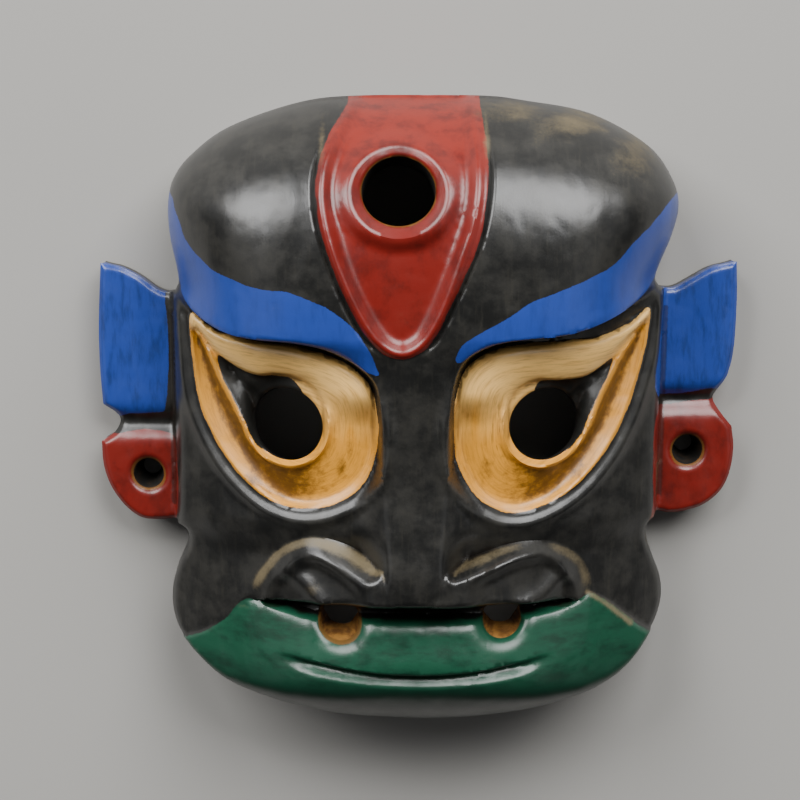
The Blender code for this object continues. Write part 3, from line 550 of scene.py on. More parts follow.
def forehead_panel(points):
    """What the red panel adds: a groove round it, a raised rim, a dish, and a collar round the third eye."""
    x, y = points.T
    inward = distance_inside(points, SHAPES["panel"])
    (hole_x, hole_y), radius = on_drawing("third_eye")
    from_hole = np.hypot(x - hole_x, (y - hole_y) / HOLES["third_eye"][2])
    left_rim, right_rim = PANEL_RIMS_IN
    rim_in = left_rim + (right_rim - left_rim) * ease(x, -8, 8) * ease(y, 44, 70)
    low, high = PANEL_DISH_EDGE
    dish = PANEL_DISH * ease(inward, rim_in + low, rim_in + high)
    rim = PANEL_RIM * hump(inward - rim_in, PANEL_RIM_WIDTH)
    collar = dish * (1 - ease(from_hole, radius + COLLAR_WIDTH, radius + COLLAR_REACH))
    bevel = COLLAR_BEVEL * (1 - np.clip((from_hole - radius) / COLLAR_WIDTH, 0, 1))
    outside = np.abs(inward + PANEL_GROOVE_WIDTH) / PANEL_GROOVE_WIDTH
    groove = PANEL_GROOVE * (1 - np.clip(outside, 0, 1))
    groove = groove * ease(GROOVE_TOP - y, 0, GROOVE_FADE) * ease(y, *GROOVE_FOOT)
    return (rim - dish + collar - bevel) * ease(inward, 0, 0.8) - groove


# %% The ears
# The ears: the plate's level at the head, how fast it falls outwards, how softly it meets the face, the
# trough above the lobe, and the bevel of the cord hole
EAR_LEVEL = 17.0
EAR_ROOT = 90.0
EAR_FALL = 0.09
EAR_BLEND = 5.0
EAR_TROUGH = 4.0
EAR_TROUGH_WIDTH = 4.2
LEFT_TROUGH_Y = -7.5
RIGHT_TROUGH_Y = 1.5
EAR_HOLE_BEVEL = 1.2
EAR_HOLE_BEVEL_WIDTH = 2.5


def ear_height(points):
    """Height of the ear plates, with the trough between the upper ear and the lobe."""
    x, y = points.T
    trough = np.where(x < 0, LEFT_TROUGH_Y, RIGHT_TROUGH_Y)
    plate = EAR_LEVEL - EAR_FALL * (np.abs(x) - EAR_ROOT)
    for name in ("left_ear", "right_ear"):
        (hole_x, hole_y), radius = on_drawing(name)
        from_hole = np.hypot(x - hole_x, y - hole_y)
        plate = plate - EAR_HOLE_BEVEL * (1 - ease(from_hole, radius, radius + EAR_HOLE_BEVEL_WIDTH))
    return plate - EAR_TROUGH * hump(y - trough, EAR_TROUGH_WIDTH)


# %% The whole front
# The eased edge all round the front
EDGE_EASE = 1.4
EDGE_EASE_WIDTH = 1.6

# How far the sides of the mask lean in towards the back, as a share of their height
SIDE_LEAN = 0.08


def face_height(points):
    """Height of the front of the mask at points of the drawing."""
    x, y = points.T
    inward = soft_distance(points, HEAD)
    edge = size_along(y, EDGE_HEIGHTS)
    bridge_round = BRIDGE_ROUND * (x - NOSE_MIDDLE) ** 2 * ease(BRIDGE_TOP - y, 0, BRIDGE_FADE)
    high = rounded_block(inward, edge, size_along(y, MIDDLE_LINE) - bridge_round)
    middle = middle_face(points, rounded_block(inward, edge, DRAWN_BROW))
    down_the_wall = -distance_inside(points, SHAPES["high"]) / np.maximum(size_along(y, WALL_WIDTHS), 2)
    straight, rounded = np.clip(1 - down_the_wall, 0, 1), ease(-down_the_wall, -1, 0)
    height = middle + (high - middle) * (WALL_STRAIGHT * straight + (1 - WALL_STRAIGHT) * rounded)
    height = eye(points, height, "left")
    height = eye(points, height, "right")

    height = nostril_wing(points, height, "left")
    height = nostril_wing(points, height, "right")
    ledge = lower_of(LEDGE_LEVEL - MUZZLE_ROUND * x ** 2, middle, LEDGE_BLEND)
    below_nose = 1 - above_nose_bottom(points)
    height = height + (ledge - height) * below_nose * (1 - ease(np.abs(x), *LEDGE_ENDS))

    into_muzzle = distance_inside(points, SHAPES["muzzle"])
    chin = muzzle(points, rounded_block(inward, edge, NOSE_LEVEL), into_muzzle)
    height = height + (chin - height) * ease(into_muzzle, -0.9, 0.9)
    return height + forehead_panel(points)


def front_height(points):
    """Height of the front above the plane of the rim, in metres, at places in metres."""
    drawn = to_drawing(points)
    edge = distance_inside(drawn, OUTLINE)
    height = higher_of(face_height(drawn), ear_height(drawn), EAR_BLEND)
    height = height - EDGE_EASE * (1 - ease(edge, 0, EDGE_EASE_WIDTH))
    return height * BROW_HEIGHT / DRAWN_BROW


def to_drawing(points):
    """Places in metres, as millimetres of the drawing."""
    return points * (DRAWN_WIDTH / MASK_WIDTH, DRAWN_HEIGHT / MASK_HEIGHT)


def from_drawing(points):
    """Millimetres of the drawing, as places in metres."""
    return np.asarray(points, float) * (MASK_WIDTH / DRAWN_WIDTH, MASK_HEIGHT / DRAWN_HEIGHT)


# %% [markdown]
# ## The hollow
#
# The back is hollowed by hand to an even wall, so its height is a bowl that is nowhere nearer to the front
# than the wall is thick. The front is read from a table of its heights, because each spot needs 25 readings
# of it.

# %% A table of the front's heights
TABLE_STEP = 0.002
table_x = np.arange(-0.130, 0.1301, TABLE_STEP)
table_y = np.arange(-0.126, 0.1261, TABLE_STEP)
places = np.stack(np.meshgrid(table_x, table_y), axis=-1).reshape(-1, 2)
on_mask = distance_inside(places, from_drawing(OUTLINE)) > 0
front_table = np.zeros(len(places))
front_table[on_mask] = front_height(places[on_mask])
front_table = front_table.reshape(len(table_y), len(table_x))
print("front table", front_table.shape, "highest", round(front_table.max() * 1000, 1), "mm")


def front_nearby(points):
    """The front's height read from the table."""
    column = (points[:, 0] - table_x[0]) / TABLE_STEP
    row = (points[:, 1] - table_y[0]) / TABLE_STEP
    i, j = row.astype(int), column.astype(int)
    up, right = row - i, column - j
    lower = front_table[i, j] * (1 - right) + front_table[i, j + 1] * right
    upper = front_table[i + 1, j] * (1 - right) + front_table[i + 1, j + 1] * right
    return lower * (1 - up) + upper * up


# %% The hollow
# How far in from the rim the bowl reaches its full depth, as a share of the mask's width, and how full it is
HOLLOW_REACH = 0.25
HOLLOW_FULLNESS = (2.4, 0.62)
# A ball as thick as the wall is kept clear of the front: how far out in it the front is read, as shares
BALL_RINGS = (0.45, 0.85)


def hollow_height(points):
    """Height of the hollow at the back: nowhere nearer to the front than the wall, and 0 on the rim."""
    inward = distance_inside(points, from_drawing(HEAD)) - RIM_WIDTH
    share = np.clip(inward / (MASK_WIDTH * HOLLOW_REACH), 0, 1)
    steep, full = HOLLOW_FULLNESS
    bowl = HOLLOW_DEPTH * (1 - (1 - share) ** steep) ** full
    nearest = front_nearby(points) - WALL
    for reach in BALL_RINGS:
        for turn in np.linspace(0, 2 * math.pi, SPOTS_AROUND, endpoint=False):
            around = points + WALL * reach * np.array([math.cos(turn), math.sin(turn)])
            nearest = np.minimum(nearest, front_nearby(around) - WALL * math.sqrt(1 - reach ** 2))
    return np.maximum(np.minimum(bowl, nearest), 0) * (inward > 0)


# %% [markdown]
# ## The marks of the tools
#
# A carved surface is never quite smooth. A knife leaves long shallow facets, here cut no deeper than a few
# tenths of a millimetre, and handling adds small dents. They are cut into the mesh, always inwards, because
# that is what gives the lacquer its uneven shine. Gouge marks in the hollow are broader and deeper.

# %% Tool marks
# Sizes across and along in millimetres, and depths in metres
FACET_SIZE = (9.0, 24.0)
FACET_DEPTH = 0.00022
DENT_SIZE = 3.6
DENT_DEPTH = 0.00008
GOUGE_SIZE = (9.0, 17.0)
GOUGE_DEPTH = 0.0011


def unevenness(points, size, seed):
    """A smooth random value from 0 to 1 at every point, with the given size in x and y in millimetres."""
    across, along = size
    values = [noise.noise((x / across, y / along, seed)) for x, y in (points * 1000).tolist()]
    return np.clip(np.array(values) + 0.5, 0, 1)


def tool_marks(points):
    """How deep the knife's facets and the dents go at places on the front, in metres."""
    facets = ease(unevenness(points, FACET_SIZE, 3.1), 0.2, 0.8)
    dents = ease(unevenness(points, (DENT_SIZE, DENT_SIZE), 9.7), 0.66, 0.95)
    return FACET_DEPTH * facets + DENT_DEPTH * dents


def gouge_marks(points):
    """How deep the gouge's scallops go in the hollow, in metres."""
    return GOUGE_DEPTH * np.abs(2 * unevenness(points, GOUGE_SIZE, 21.3) - 1)


# %% [markdown]
# ## The fine surface
#
# The front is a net of triangles over the outline. Rows of points run along every edge of the carving,
# closer together where the surface turns, and a plain grid fills the rest. A Delaunay triangulation joins
# them.

# %% Places for the points
# How far apart points are along the rows, in the front's grid and in the hollow's, in metres, and the least
# gap between points of the rows, and of the grid as a share of its spacing
EDGE_SPACING = 0.0010
PLAIN_SPACING = 0.00135
HOLLOW_SPACING = 0.0022
ROW_GAP = 0.00045
HOLLOW_ROW_GAP = 0.0007
GRID_GAP = 0.62

# How far the points keep from the outline and the holes
FRONT_CLEAR = 0.0004
BACK_CLEAR = 0.001

# Rows beside each line of the carving, in millimetres to its inner side
ROWS_BESIDE = {
    "outline": (0.5, 1.1, 1.8, 2.8, 4.0),
    "high": (-9, -7.5, -6, -4.8, -3.6, -2.4, -1.2, -0.1, 1.2),
    "panel": (-3, -2.2, -1.65, -1.1, -0.55, 0, 0.8, 1.6, 2.4, 3.4, 4.6, 6, 7.4),
    "muzzle": (-1, -0.4, 0.4, 1, 1.8, 2.8, 3.9, 5.1, 6.4),
    "rim": (-7, -5.6, -4.6, -3.4, -2.2, -1.2, -0.3, 0.4, 1.0, 1.8, 2.8),
    "lids": (-4, -3, -2, -1, -0.3, 0.4, 1.1, 1.9),
    "wing": (-0.8, 0, 0.8, 1.8, 2.8, 3.8, 4.6, 5.4, 6.4, 8),
    "mouth": (-2.3, -1.5, -0.8, -0.3, 0.2, 0.8, 1.6, 2.6, 3.6, 4.6),
    "hole": (0.45, 0.95, 1.5, 2.2, 3.1, 4.2, 5.4)}


def thin_out(points, gaps):
    """The points that stay when each must keep its own gap to those kept before it."""
    cell = gaps.max()
    cells = {}
    kept = []
    for (x, y), gap in zip(points.tolist(), gaps.tolist()):
        column, row = int(x // cell), int(y // cell)
        around = [(column + i, row + j) for i in (-1, 0, 1) for j in (-1, 0, 1)]
        near = [other for place in around for other in cells.get(place, ())]
        if all((x - a) ** 2 + (y - b) ** 2 >= gap * gap for a, b in near):
            cells.setdefault((column, row), []).append((x, y))
            kept.append((x, y))
    return np.array(kept)


# How much a bore's radius shrinks for each unit that it goes in
BORE_TAPER = {"left_ear": 0.16, "right_ear": 0.16}


def hole_ring(name, depth=0.0):
    """The ring of one hole, where it has gone in by the given depth."""
    centre, radius, squash, slant = HOLES[name]
    radius = radius - BORE_TAPER.get(name, 0) * depth
    middle = from_drawing(centre) + np.array([0, slant * depth])
    turns = np.linspace(0, 2 * math.pi, HOLE_SIDES, endpoint=False)
    return middle + radius * np.column_stack([np.cos(turns), squash * np.sin(turns)])


def line_and_inner(loop, spacing, closed=True):
    """Evenly spaced points along a line, and the direction to its inner side at each."""
    path = evenly_spaced(np.vstack([loop, loop[:1]]) if closed else loop, spacing)
    direction = np.gradient(path, axis=0)
    direction /= np.maximum(np.hypot(*direction.T), 1e-9)[:, None]
    return path, np.column_stack([direction[:, 1], -direction[:, 0]])


def offset_rows(loop, distances, spacing, closed=True):
    """Points in rows beside a line, at the given distances to its inner side."""
    path, inner = line_and_inner(loop, spacing, closed)
    return np.concatenate([path + inner * distance for distance in distances])


def grid(spacing):
    """A triangular grid of points over the whole mask."""
    rows = []
    for row, y in enumerate(np.arange(-MASK_HEIGHT / 2, MASK_HEIGHT / 2, spacing * math.sin(math.pi / 3))):
        start = -MASK_WIDTH / 2 + spacing * (row % 2) / 2
        xs = np.arange(start, MASK_WIDTH / 2, spacing)
        rows.append(np.column_stack([xs, np.full(len(xs), y)]))
    return np.concatenate(rows)


def triangulate(loops, inner_points):
    """Triangles between the first loop and the rest, which are its holes, through the inner points."""
    verts = np.concatenate(loops + [inner_points])
    edges = []
    first = 0
    for loop in loops:
        count = len(loop)
        edges += [(first + i, first + (i + 1) % count) for i in range(count)]
        first += count
    result = delaunay_2d_cdt([Vector(v) for v in verts], edges, [], 0, 1e-9)
    source = [ids[0] for ids in result[3]]
    faces = np.array([[source[i] for i in face] for face in result[2]])
    on_loops = np.nonzero((faces < first).all(axis=1))[0]
    middles = verts[faces[on_loops]].mean(axis=1)
    outside = distance_inside(middles, loops[0]) < 0
    for loop in loops[1:]:
        outside |= distance_inside(middles, loop) > 0
    faces = np.delete(faces, on_loops[outside], axis=0)
    a, b, c = (verts[faces[:, i]] for i in range(3))
    turn = (b - a)[:, 0] * (c - a)[:, 1] - (b - a)[:, 1] * (c - a)[:, 0]
    faces[turn < 0] = faces[turn < 0][:, ::-1]
    return verts, faces


# The direction inwards is read over this many points to each side
CORNER_SPAN = 7


def ring_inwards(ring, distance):
    """A ring moved inwards by a distance at every point. The direction turns gently over each corner."""
    direction = np.roll(ring, -CORNER_SPAN, axis=0) - np.roll(ring, CORNER_SPAN, axis=0)
    direction /= np.hypot(*direction.T)[:, None]
    return ring + np.column_stack([direction[:, 1], -direction[:, 0]]) * np.reshape(distance, (-1, 1))


def quads_as_triangles(upper, lower):
    """Triangles between two rings of point numbers, facing away from the inside of the ring."""
    next_upper, next_lower = np.roll(upper, -1), np.roll(lower, -1)
    return np.concatenate([np.column_stack([upper, next_upper, next_lower]),
                           np.column_stack([upper, next_lower, lower])])


def inner_points(ring, holes, rows, row_gap, spacing, clear_of_edge):
    """Rows first and then a plain grid, thinned out, and clear of the outline and the holes."""
    plain = grid(spacing)
    points = np.concatenate(rows + [plain])
    gaps = np.full(len(points), spacing * GRID_GAP)
    gaps[:-len(plain)] = row_gap
    clear = distance_inside(points, ring) > clear_of_edge
    for hole in holes:
        clear &= distance_inside(points, hole) < -clear_of_edge
    return thin_out(points[clear], gaps[clear])


# %% Rows along the edges of the carving
def carving_rows():
    """Rows of points beside every line of the carving."""
    scale = MASK_WIDTH / DRAWN_WIDTH
    lines = {name: (from_drawing(loop), True) for name, loop in SHAPES.items()}
    lines["outline"] = (from_drawing(OUTLINE), True)
    lines["mouth"] = (from_drawing(MOUTH_LINE), False)
    rows = []
    for name, (line, closed) in lines.items():
        turn = (line[:, 0] * np.roll(line[:, 1], -1) - np.roll(line[:, 0], -1) * line[:, 1]).sum()
        line = line[::-1] if closed and turn > 0 else line
        distances = [distance * scale for distance in ROWS_BESIDE[name.split("_")[-1]]]
        rows.append(offset_rows(line, distances, EDGE_SPACING, closed))
        if name.endswith("wing"):
            path, inner = line_and_inner(line, EDGE_SPACING)
            band = size_along(to_drawing(path)[:, 0], WING_BANDS)[:, None] * scale
            rows[:0] = [path + inner * (band + beside * scale) for beside in (0, -0.6, 0.6)]
    turns = np.linspace(0, 2 * math.pi, HOLE_SIDES, endpoint=False)
    circle = np.column_stack([np.cos(turns), np.sin(turns)])
    for centre, radius, squash, _ in HOLES.values():
        for distance in ROWS_BESIDE["hole"]:
            rows.insert(0, from_drawing(centre) + circle * (radius + distance / 1000) * (1, squash))
    return rows


# %% The front's net
runs = [evenly_spaced(from_drawing(smooth_run(run)), EDGE_SPACING)[:-1] for run in OUTLINE_RUNS]
ring = np.concatenate(runs)
front_holes = [hole_ring(name) for name in HOLES]
front_flat, front_faces = triangulate(
    [ring] + front_holes,
    inner_points(ring, front_holes, carving_rows(), ROW_GAP, PLAIN_SPACING, FRONT_CLEAR))
print("front:", len(front_flat), "points and", len(front_faces), "triangles")

# %% The front's heights
# The eased edge round each hole, in metres
HOLE_EASE = 0.0006
HOLE_EASE_WIDTH = 0.0010
from_holes = np.min([-distance_inside(front_flat, hole) for hole in front_holes], axis=0)
front_heights = front_height(front_flat) - tool_marks(front_flat)
front_heights -= HOLE_EASE * (1 - ease(from_holes, 0, HOLE_EASE_WIDTH))
print("front from", round(front_heights.min() * 1000, 1), "to", round(front_heights.max() * 1000, 1), "mm")

# %% The sides' rings
# The sides run down in rows, with a slight waviness halfway: its depth in metres, its sizes in millimetres
SIDE_ROWS = 14
SIDE_WAVE = 0.0004
SIDE_WAVE_SIZE = (4, 30)
# How high the last ring of the sides lies on the rounded edge of the rim, as a share of its height
ROUND_SHARE = 0.3
ring_heights = front_heights[:len(ring)]
side_rings = []
for share in np.linspace(0, 1, SIDE_ROWS + 1)[1:]:
    level = ring_heights * (1 - share) + RIM_ROUND * share
    down_the_side = np.column_stack([ring.sum(axis=1), level])
    wavy = SIDE_WAVE * np.sin(math.pi * share) * unevenness(down_the_side, SIDE_WAVE_SIZE, 5.5)
    flat = ring_inwards(ring, SIDE_LEAN * ring_heights * share + wavy)
    side_rings.append(np.column_stack([flat, level]))
back_ring = ring_inwards(ring, SIDE_LEAN * ring_heights + RIM_ROUND)
round_ring = ring_inwards(ring, SIDE_LEAN * ring_heights + RIM_ROUND * ROUND_SHARE)
side_rings.append(np.column_stack([round_ring, np.full(len(ring), RIM_ROUND * ROUND_SHARE)]))

# %% The back's net
back_holes = []
for name, hole in zip(HOLES, front_holes):
    centre = hole.mean(axis=0, keepdims=True)
    back_holes.append(hole_ring(name, front_nearby(centre)[0] - hollow_height(centre)[0]))
head = from_drawing(HEAD)
beside_rim = (-0.0012, 0, 0.0009, 0.0022, 0.004, 0.006)
into_hollow = [RIM_WIDTH + distance for distance in beside_rim]
back_rows = [offset_rows(head, into_hollow, HOLLOW_SPACING * 0.7)]
back_flat, back_faces = triangulate(
    [back_ring] + back_holes,
    inner_points(back_ring, back_holes, back_rows, HOLLOW_ROW_GAP, HOLLOW_SPACING, BACK_CLEAR))
back_heights = hollow_height(back_flat)
hollowed = ease(back_heights, 0.001, 0.012)
back_heights = np.maximum(back_heights - gouge_marks(back_flat) * hollowed, 0)
back_heights[:len(ring)] = 0
print("back:", len(back_flat), "points and", len(back_faces), "triangles")

# %% [markdown]
# ## Where the paint goes
#
# Every painted area has a closed edge on the drawing. Some are the edges of the carving itself, and the
# others run free across the wood. Each point of the mesh is given its distance inside the nearest area of
# each colour.

# %% The edges of the free paint
LEFT_BROW_PAINT = [
    (-112, 84), (-91, 82.3), (-86.1, 74.9), (-82.3, 66.9), (-75.3, 60.2), (-67.9, 56.5), (-58.8, 53.8),
    (-51.7, 52.5), (-44.7, 52.1), (-34.3, 48.1), (-25.6, 42.3), (-19.8, 36), (-14.9, 25.5), (-14.4, 22.6),
    (-19.9, 24.2), (-25.8, 28.4), (-34.5, 31.9), (-45, 34), (-59.4, 34.6), (-70.6, 36.6), (-79.6, 40.7),
    (-85.7, 45.9), (-89.1, 51.3), (-112, 60)]
RIGHT_BROW_PAINT = [
    (12.6, 28), (13.6, 31.5), (16.2, 35.2), (22.6, 38.8), (31.2, 44), (38.1, 48.8), (48.5, 52.6),
    (59.2, 56.4), (68.4, 61.1), (74.9, 67.9), (82.1, 73.8), (88.5, 79.8), (94.4, 81.9), (112, 84),
    (112, 62), (86.8, 51.6), (81.4, 47.6), (71.3, 42.6), (60, 38.5), (49.1, 36.2), (38.4, 35.5),
    (27.9, 34.1), (19.3, 30.6), (14.6, 27.2)]
LEFT_EAR_PAINT = [
    (-94.6, 48), (-94.3, 40.7), (-93.4, 28.6), (-93.9, 9.5), (-95.3, -1.6), (-97, -3), (-108.5, -3.9),
    (-126, -3.2), (-126, 62), (-100, 62)]
RIGHT_EAR_PAINT = [
    (92.5, 52), (91.6, 43.7), (89.7, 28.6), (87.5, 13.4), (88.6, 6.6), (92.4, 3.6), (102.4, 4.2),
    (110, 5.6), (126, 8), (126, 64), (98, 62)]
LEFT_LOBE_PAINT = [
    (-126, -12), (-114.4, -12), (-104.9, -10.1), (-95.5, -10.9), (-91.7, -13.6), (-89.7, -25.3),
    (-90.3, -37), (-92, -44.5), (-94, -54), (-126, -52)]
RIGHT_LOBE_PAINT = [
    (126, 2), (112, 1.2), (106.3, 0.7), (96, -0.2), (89.3, -0.8), (87.6, -6), (87.5, -17.5), (88.2, -34),
    (89, -50), (126, -52)]
LEFT_EYEBALL = [
    (-72.4, 24.6), (-65, 20.6), (-57.4, 18.5), (-51, 18.8), (-44.5, 17.6), (-40, 9), (-43, 0), (-47, -6),
    (-52.6, -9.2), (-56.7, -7.8), (-60, -4.2), (-62.2, 1), (-67.2, 10.4), (-71, 17.4)]
RIGHT_EYEBALL = [
    (69.6, 23.6), (61, 18.2), (51.5, 17.1), (43, 17), (40, 8), (42, 0), (46, -6), (50.6, -9.2),
    (54.7, -7.8), (58.2, -4), (60.4, 0.6), (65.2, 11.4), (68.9, 18.6)]


def smooth_loops(*loops):
    """A smooth closed curve through the points of each loop."""
    return [smooth_run(loop, closed=True) for loop in loops]


BLUE = smooth_loops(LEFT_BROW_PAINT, RIGHT_BROW_PAINT, LEFT_EAR_PAINT, RIGHT_EAR_PAINT)
RED = [SHAPES["panel"]] + smooth_loops(LEFT_LOBE_PAINT, RIGHT_LOBE_PAINT)
EYEBALLS = smooth_loops(LEFT_EYEBALL, RIGHT_EYEBALL)
print("free paint:", len(BLUE), "blue areas,", len(RED) - 1, "red lobes and", len(EYEBALLS), "eyeballs")

# %% [markdown]
# Wear isn't even on a real mask. It shows where fingers and cloth have rubbed this one: on the upper bands
# of the nostril wings, on one nostril, on the crown and along one end of the green. Each spot is listed one
# by one.

# %% Where the paint is worn or cracked
# Each spot: its middle x and y on the drawing, how far it spreads in x and y, and how strong it is
WORN_SPOTS = [
    (-39, -58.5, 4, 4, 0.45), (33, 111, 14, 4, 0.5), (56, 107, 16, 5, 0.55), (77, 97, 9, 8, 0.5),
    (88, -46, 2.5, 8, 0.7), (-34, 101, 1.6, 9, 0.6), (23.6, 104, 1.3, 10, 0.6), (-64, -70, 4, 2, 0.35),
    (90, -24, 2, 12, 0.4)]
WORN_GREEN_EDGE = [(62.5, -64.4), (66, -67), (72, -72), (80, -79.6)]
# How worn the band of each nostril wing is, and the x near which the right one has kept its paint
WING_WEAR = {"left": 0.72, "right": 0.55}
KEPT_PAINT_X = 42
CRACKED_SPOTS = [(28, 1, 1.6, 8, 1.0), (45.5, -16.4, 7, 1.0, 0.9), (-58, -20, 3, 2, 0.5)]


def spots(points, places):
    """The strongest of some soft spots at points of the drawing."""
    x, y = points.T
    return np.max([strength * np.exp(-((x - a) / wide) ** 2 - ((y - b) / tall) ** 2)
                   for a, b, wide, tall, strength in places], axis=0)


def wear(points):
    """How worn the paint is, from 0 to 1, at points of the drawing."""
    worn = spots(points, WORN_SPOTS)
    along_green = distance_to_run(points, smooth_run(WORN_GREEN_EDGE))
    worn = np.maximum(worn, 0.75 * hump(along_green, 1.1))
    for side in ("left", "right"):
        share = distance_inside(points, SHAPES[side + "_wing"]) / size_along(points[:, 0], WING_BANDS)
        stripe = ease(share, -0.1, 0.2) * (1 - ease(share, 0.4, 0.8)) * ease(points[:, 1], -66, -58)
        rubbed = 1 - 0.9 * hump(points[:, 0] - KEPT_PAINT_X, 8)
        off_the_bridge = ease(np.abs(points[:, 0]), 11, 13)
        strength = WING_WEAR[side]
        worn = np.maximum(worn, strength * stripe * rubbed * off_the_bridge)
    return worn


# %% Brown dirt and painted shade in the channels round the eyes, and painted light on their upper bands
# The gold is brown where dirt gathered and is painted darker as shade in the channels. Each spot is given
# like the worn ones
BROWN_DIRT_AND_SHADE_SPOTS = [
    (-59, -20, 5, 2.4, 0.55), (-50, -24.5, 6, 1.8, 0.5), (-28, -14, 2.6, 4.5, 0.6),
    (-24.5, -5, 1.2, 7, 0.45), (-40, -25.5, 4, 1.4, 0.3), (56, -17, 6, 3, 0.5), (42, -25, 8, 2, 0.45),
    (24, -14, 3, 6, 0.45), (20, 6, 1.4, 8, 0.3)]


def gold_dirt_shade_and_light(points):
    """How much brown dirt and painted shade lie at points of the drawing, and below 0 how much painted light
    the gold has.
    """
    dirt_shade_and_light = spots(points, BROWN_DIRT_AND_SHADE_SPOTS)
    painted_band_light = np.zeros(len(points))
    for side in ("left", "right"):
        outward, upward, from_rim, into_lids, across = eye_places(points, side)
        # The channel is browned deepest next to the lids: dirt, and painted shade in the channel
        start = 0.05 + 0.28 * ease(outward, 2, 20)
        deep = ease(across, start, start + 0.25) * (1 - ease(into_lids, -1.9, -0.7))
        dirt_shade_and_light = np.maximum(dirt_shade_and_light, 0.82 * deep * below_lids(outward, upward) * ease(outward, -22, 2))
        # Painted light: the upper band of each rim is made lighter, as if lit under the brows
        upper_side = 1 - ease(outward, 2, 14) * ease(below_corner(outward, upward), -1.5, 2.5)
        painted_band_light += 0.9 * upper_side * ease(upward, -10, 20) * (from_rim > -1)
    return dirt_shade_and_light - painted_band_light


# %% Distances inside the paint
# How wide the bare wood is that shows round a hole, in millimetres
BARE_RINGS = {"left_nostril": 1.1, "left_ear": 0.9, "right_ear": 0.8, "third_eye": 0.4}


def paint_distances(points):
    """The distance in millimetres inside each colour's area, at places in metres."""
    drawn = to_drawing(points)
    bare = [width + distance_inside(points, hole_ring(name)) * 1000 for name, width in BARE_RINGS.items()]
    return {
        "blue": np.max([distance_inside(drawn, loop) for loop in BLUE], axis=0),
        "red": np.max([distance_inside(drawn, loop) for loop in RED], axis=0),
        "gold": np.max([distance_inside(drawn, SHAPES[side + "_rim"]) for side in ("left", "right")], axis=0),
        "eyeball": np.max([distance_inside(drawn, loop) for loop in EYEBALLS], axis=0),
        "green": distance_inside(drawn, SHAPES["muzzle"]),
        "bare": np.max(bare, axis=0)}


paint = paint_distances(front_flat)
print("points inside each colour:", {name: int((values > 0).sum()) for name, values in paint.items()})


# %% [markdown]
# ## One closed mesh
#
# The front, the rings of the sides, the bored holes and the back are joined into one closed mesh, as the
# wood is one piece. The distances go on its points as named values that the shader reads.

# %% Join the parts
sides = [np.column_stack([front_flat, front_heights])] + side_rings
sides.append(np.column_stack([back_flat, back_heights]))
starts = np.cumsum([0] + [len(part) for part in sides])
around = np.arange(len(ring))
faces = [front_faces]
levels = [0] + list(starts[1:-1])
for upper, lower in zip(levels, levels[1:]):
    faces.append(quads_as_triangles(upper + around, lower + around))
side_count = sum(len(part) for part in faces)
faces.append(back_faces[:, ::-1] + starts[-2])
BORE_ROWS = 8
bores = []
first = len(ring)
total = starts[-1]
for name in HOLES:
    top = np.arange(first, first + HOLE_SIDES)
    bottom = starts[-2] + top
    upper_ring = sides[0][top]
    lower_ring = sides[-1][top]
    above = top
    for share in np.linspace(0, 1, BORE_ROWS + 1)[1:-1]:
        bores.append(upper_ring * (1 - share) + lower_ring * share)
        below = total + np.arange(HOLE_SIDES)
        total += HOLE_SIDES
        faces.append(quads_as_triangles(above, below))
        above = below
    faces.append(quads_as_triangles(above, bottom))
    first += HOLE_SIDES
vertices = np.concatenate(sides + bores)
triangles = np.concatenate(faces)
print("mask:", len(vertices), "points and", len(triangles), "triangles")

# %% Make the mesh
mesh = bpy.data.meshes.new("carved_mask")
mesh.from_pydata(vertices.tolist(), [], triangles.tolist())
mesh.update()
mesh.shade_smooth()
mesh.set_sharp_from_angle(angle=math.radians(50))
mask = bpy.data.objects.new("carved_mask", mesh)
bpy.context.scene.collection.objects.link(mask)


def give_values(name, values):
    """Puts one named value on every point of the mesh."""
    mesh.attributes.new(name, "FLOAT", "POINT").data.foreach_set("value", np.asarray(values, np.float32))


# %% Put the distances on the mesh
# In millimetres: how far the paint runs down the sides and into the bores, how long a bore is taken to be,
# and the distance given to the back, which is far from any paint
PAINT_WRAP = 8.0
BORE_WRAP = 1.2
BORE_LENGTH = 40.0
NO_PAINT = -20.0
ring_count = len(ring)
side_down = [(ring_heights - side[:, 2]) * 1000 for side in side_rings]
bore_shares = np.linspace(0, 1, BORE_ROWS + 1)[1:-1]
bore_down = [np.full(HOLE_SIDES, BORE_LENGTH * share) for _ in HOLES for share in bore_shares]
for name, values in paint.items():
    on_sides = [np.minimum(values[:ring_count], PAINT_WRAP - down) for down in side_down]
    on_back = np.full(len(back_flat), NO_PAINT)
    in_bores = []
    for number, down in enumerate(bore_down):
        first = ring_count + HOLE_SIDES * (number // (BORE_ROWS - 1))
        in_bores.append(np.minimum(values[first:first + HOLE_SIDES], BORE_WRAP - down))
    give_values(name, np.concatenate([values] + on_sides + [on_back] + in_bores))

# %% Measure how sharp, worn and cracked each spot is, and its brown dirt, painted shade and painted light
# How far round a spot its height is compared, and the band along the outline where it isn't, in metres
DIRT_AND_SHADE_REACH = 0.0020
OUTLINE_BAND = 0.006


def sharpness(points, reach):
    """How far each spot stands above what is round it, in millimetres, and below 0 in hollows."""
    around = []
    for turn in np.linspace(0, 2 * math.pi, SPOTS_AROUND, endpoint=False):
        around.append(front_nearby(points + reach * np.array([math.cos(turn), math.sin(turn)])))
    return (front_nearby(points) - np.mean(around, axis=0)) * 1000


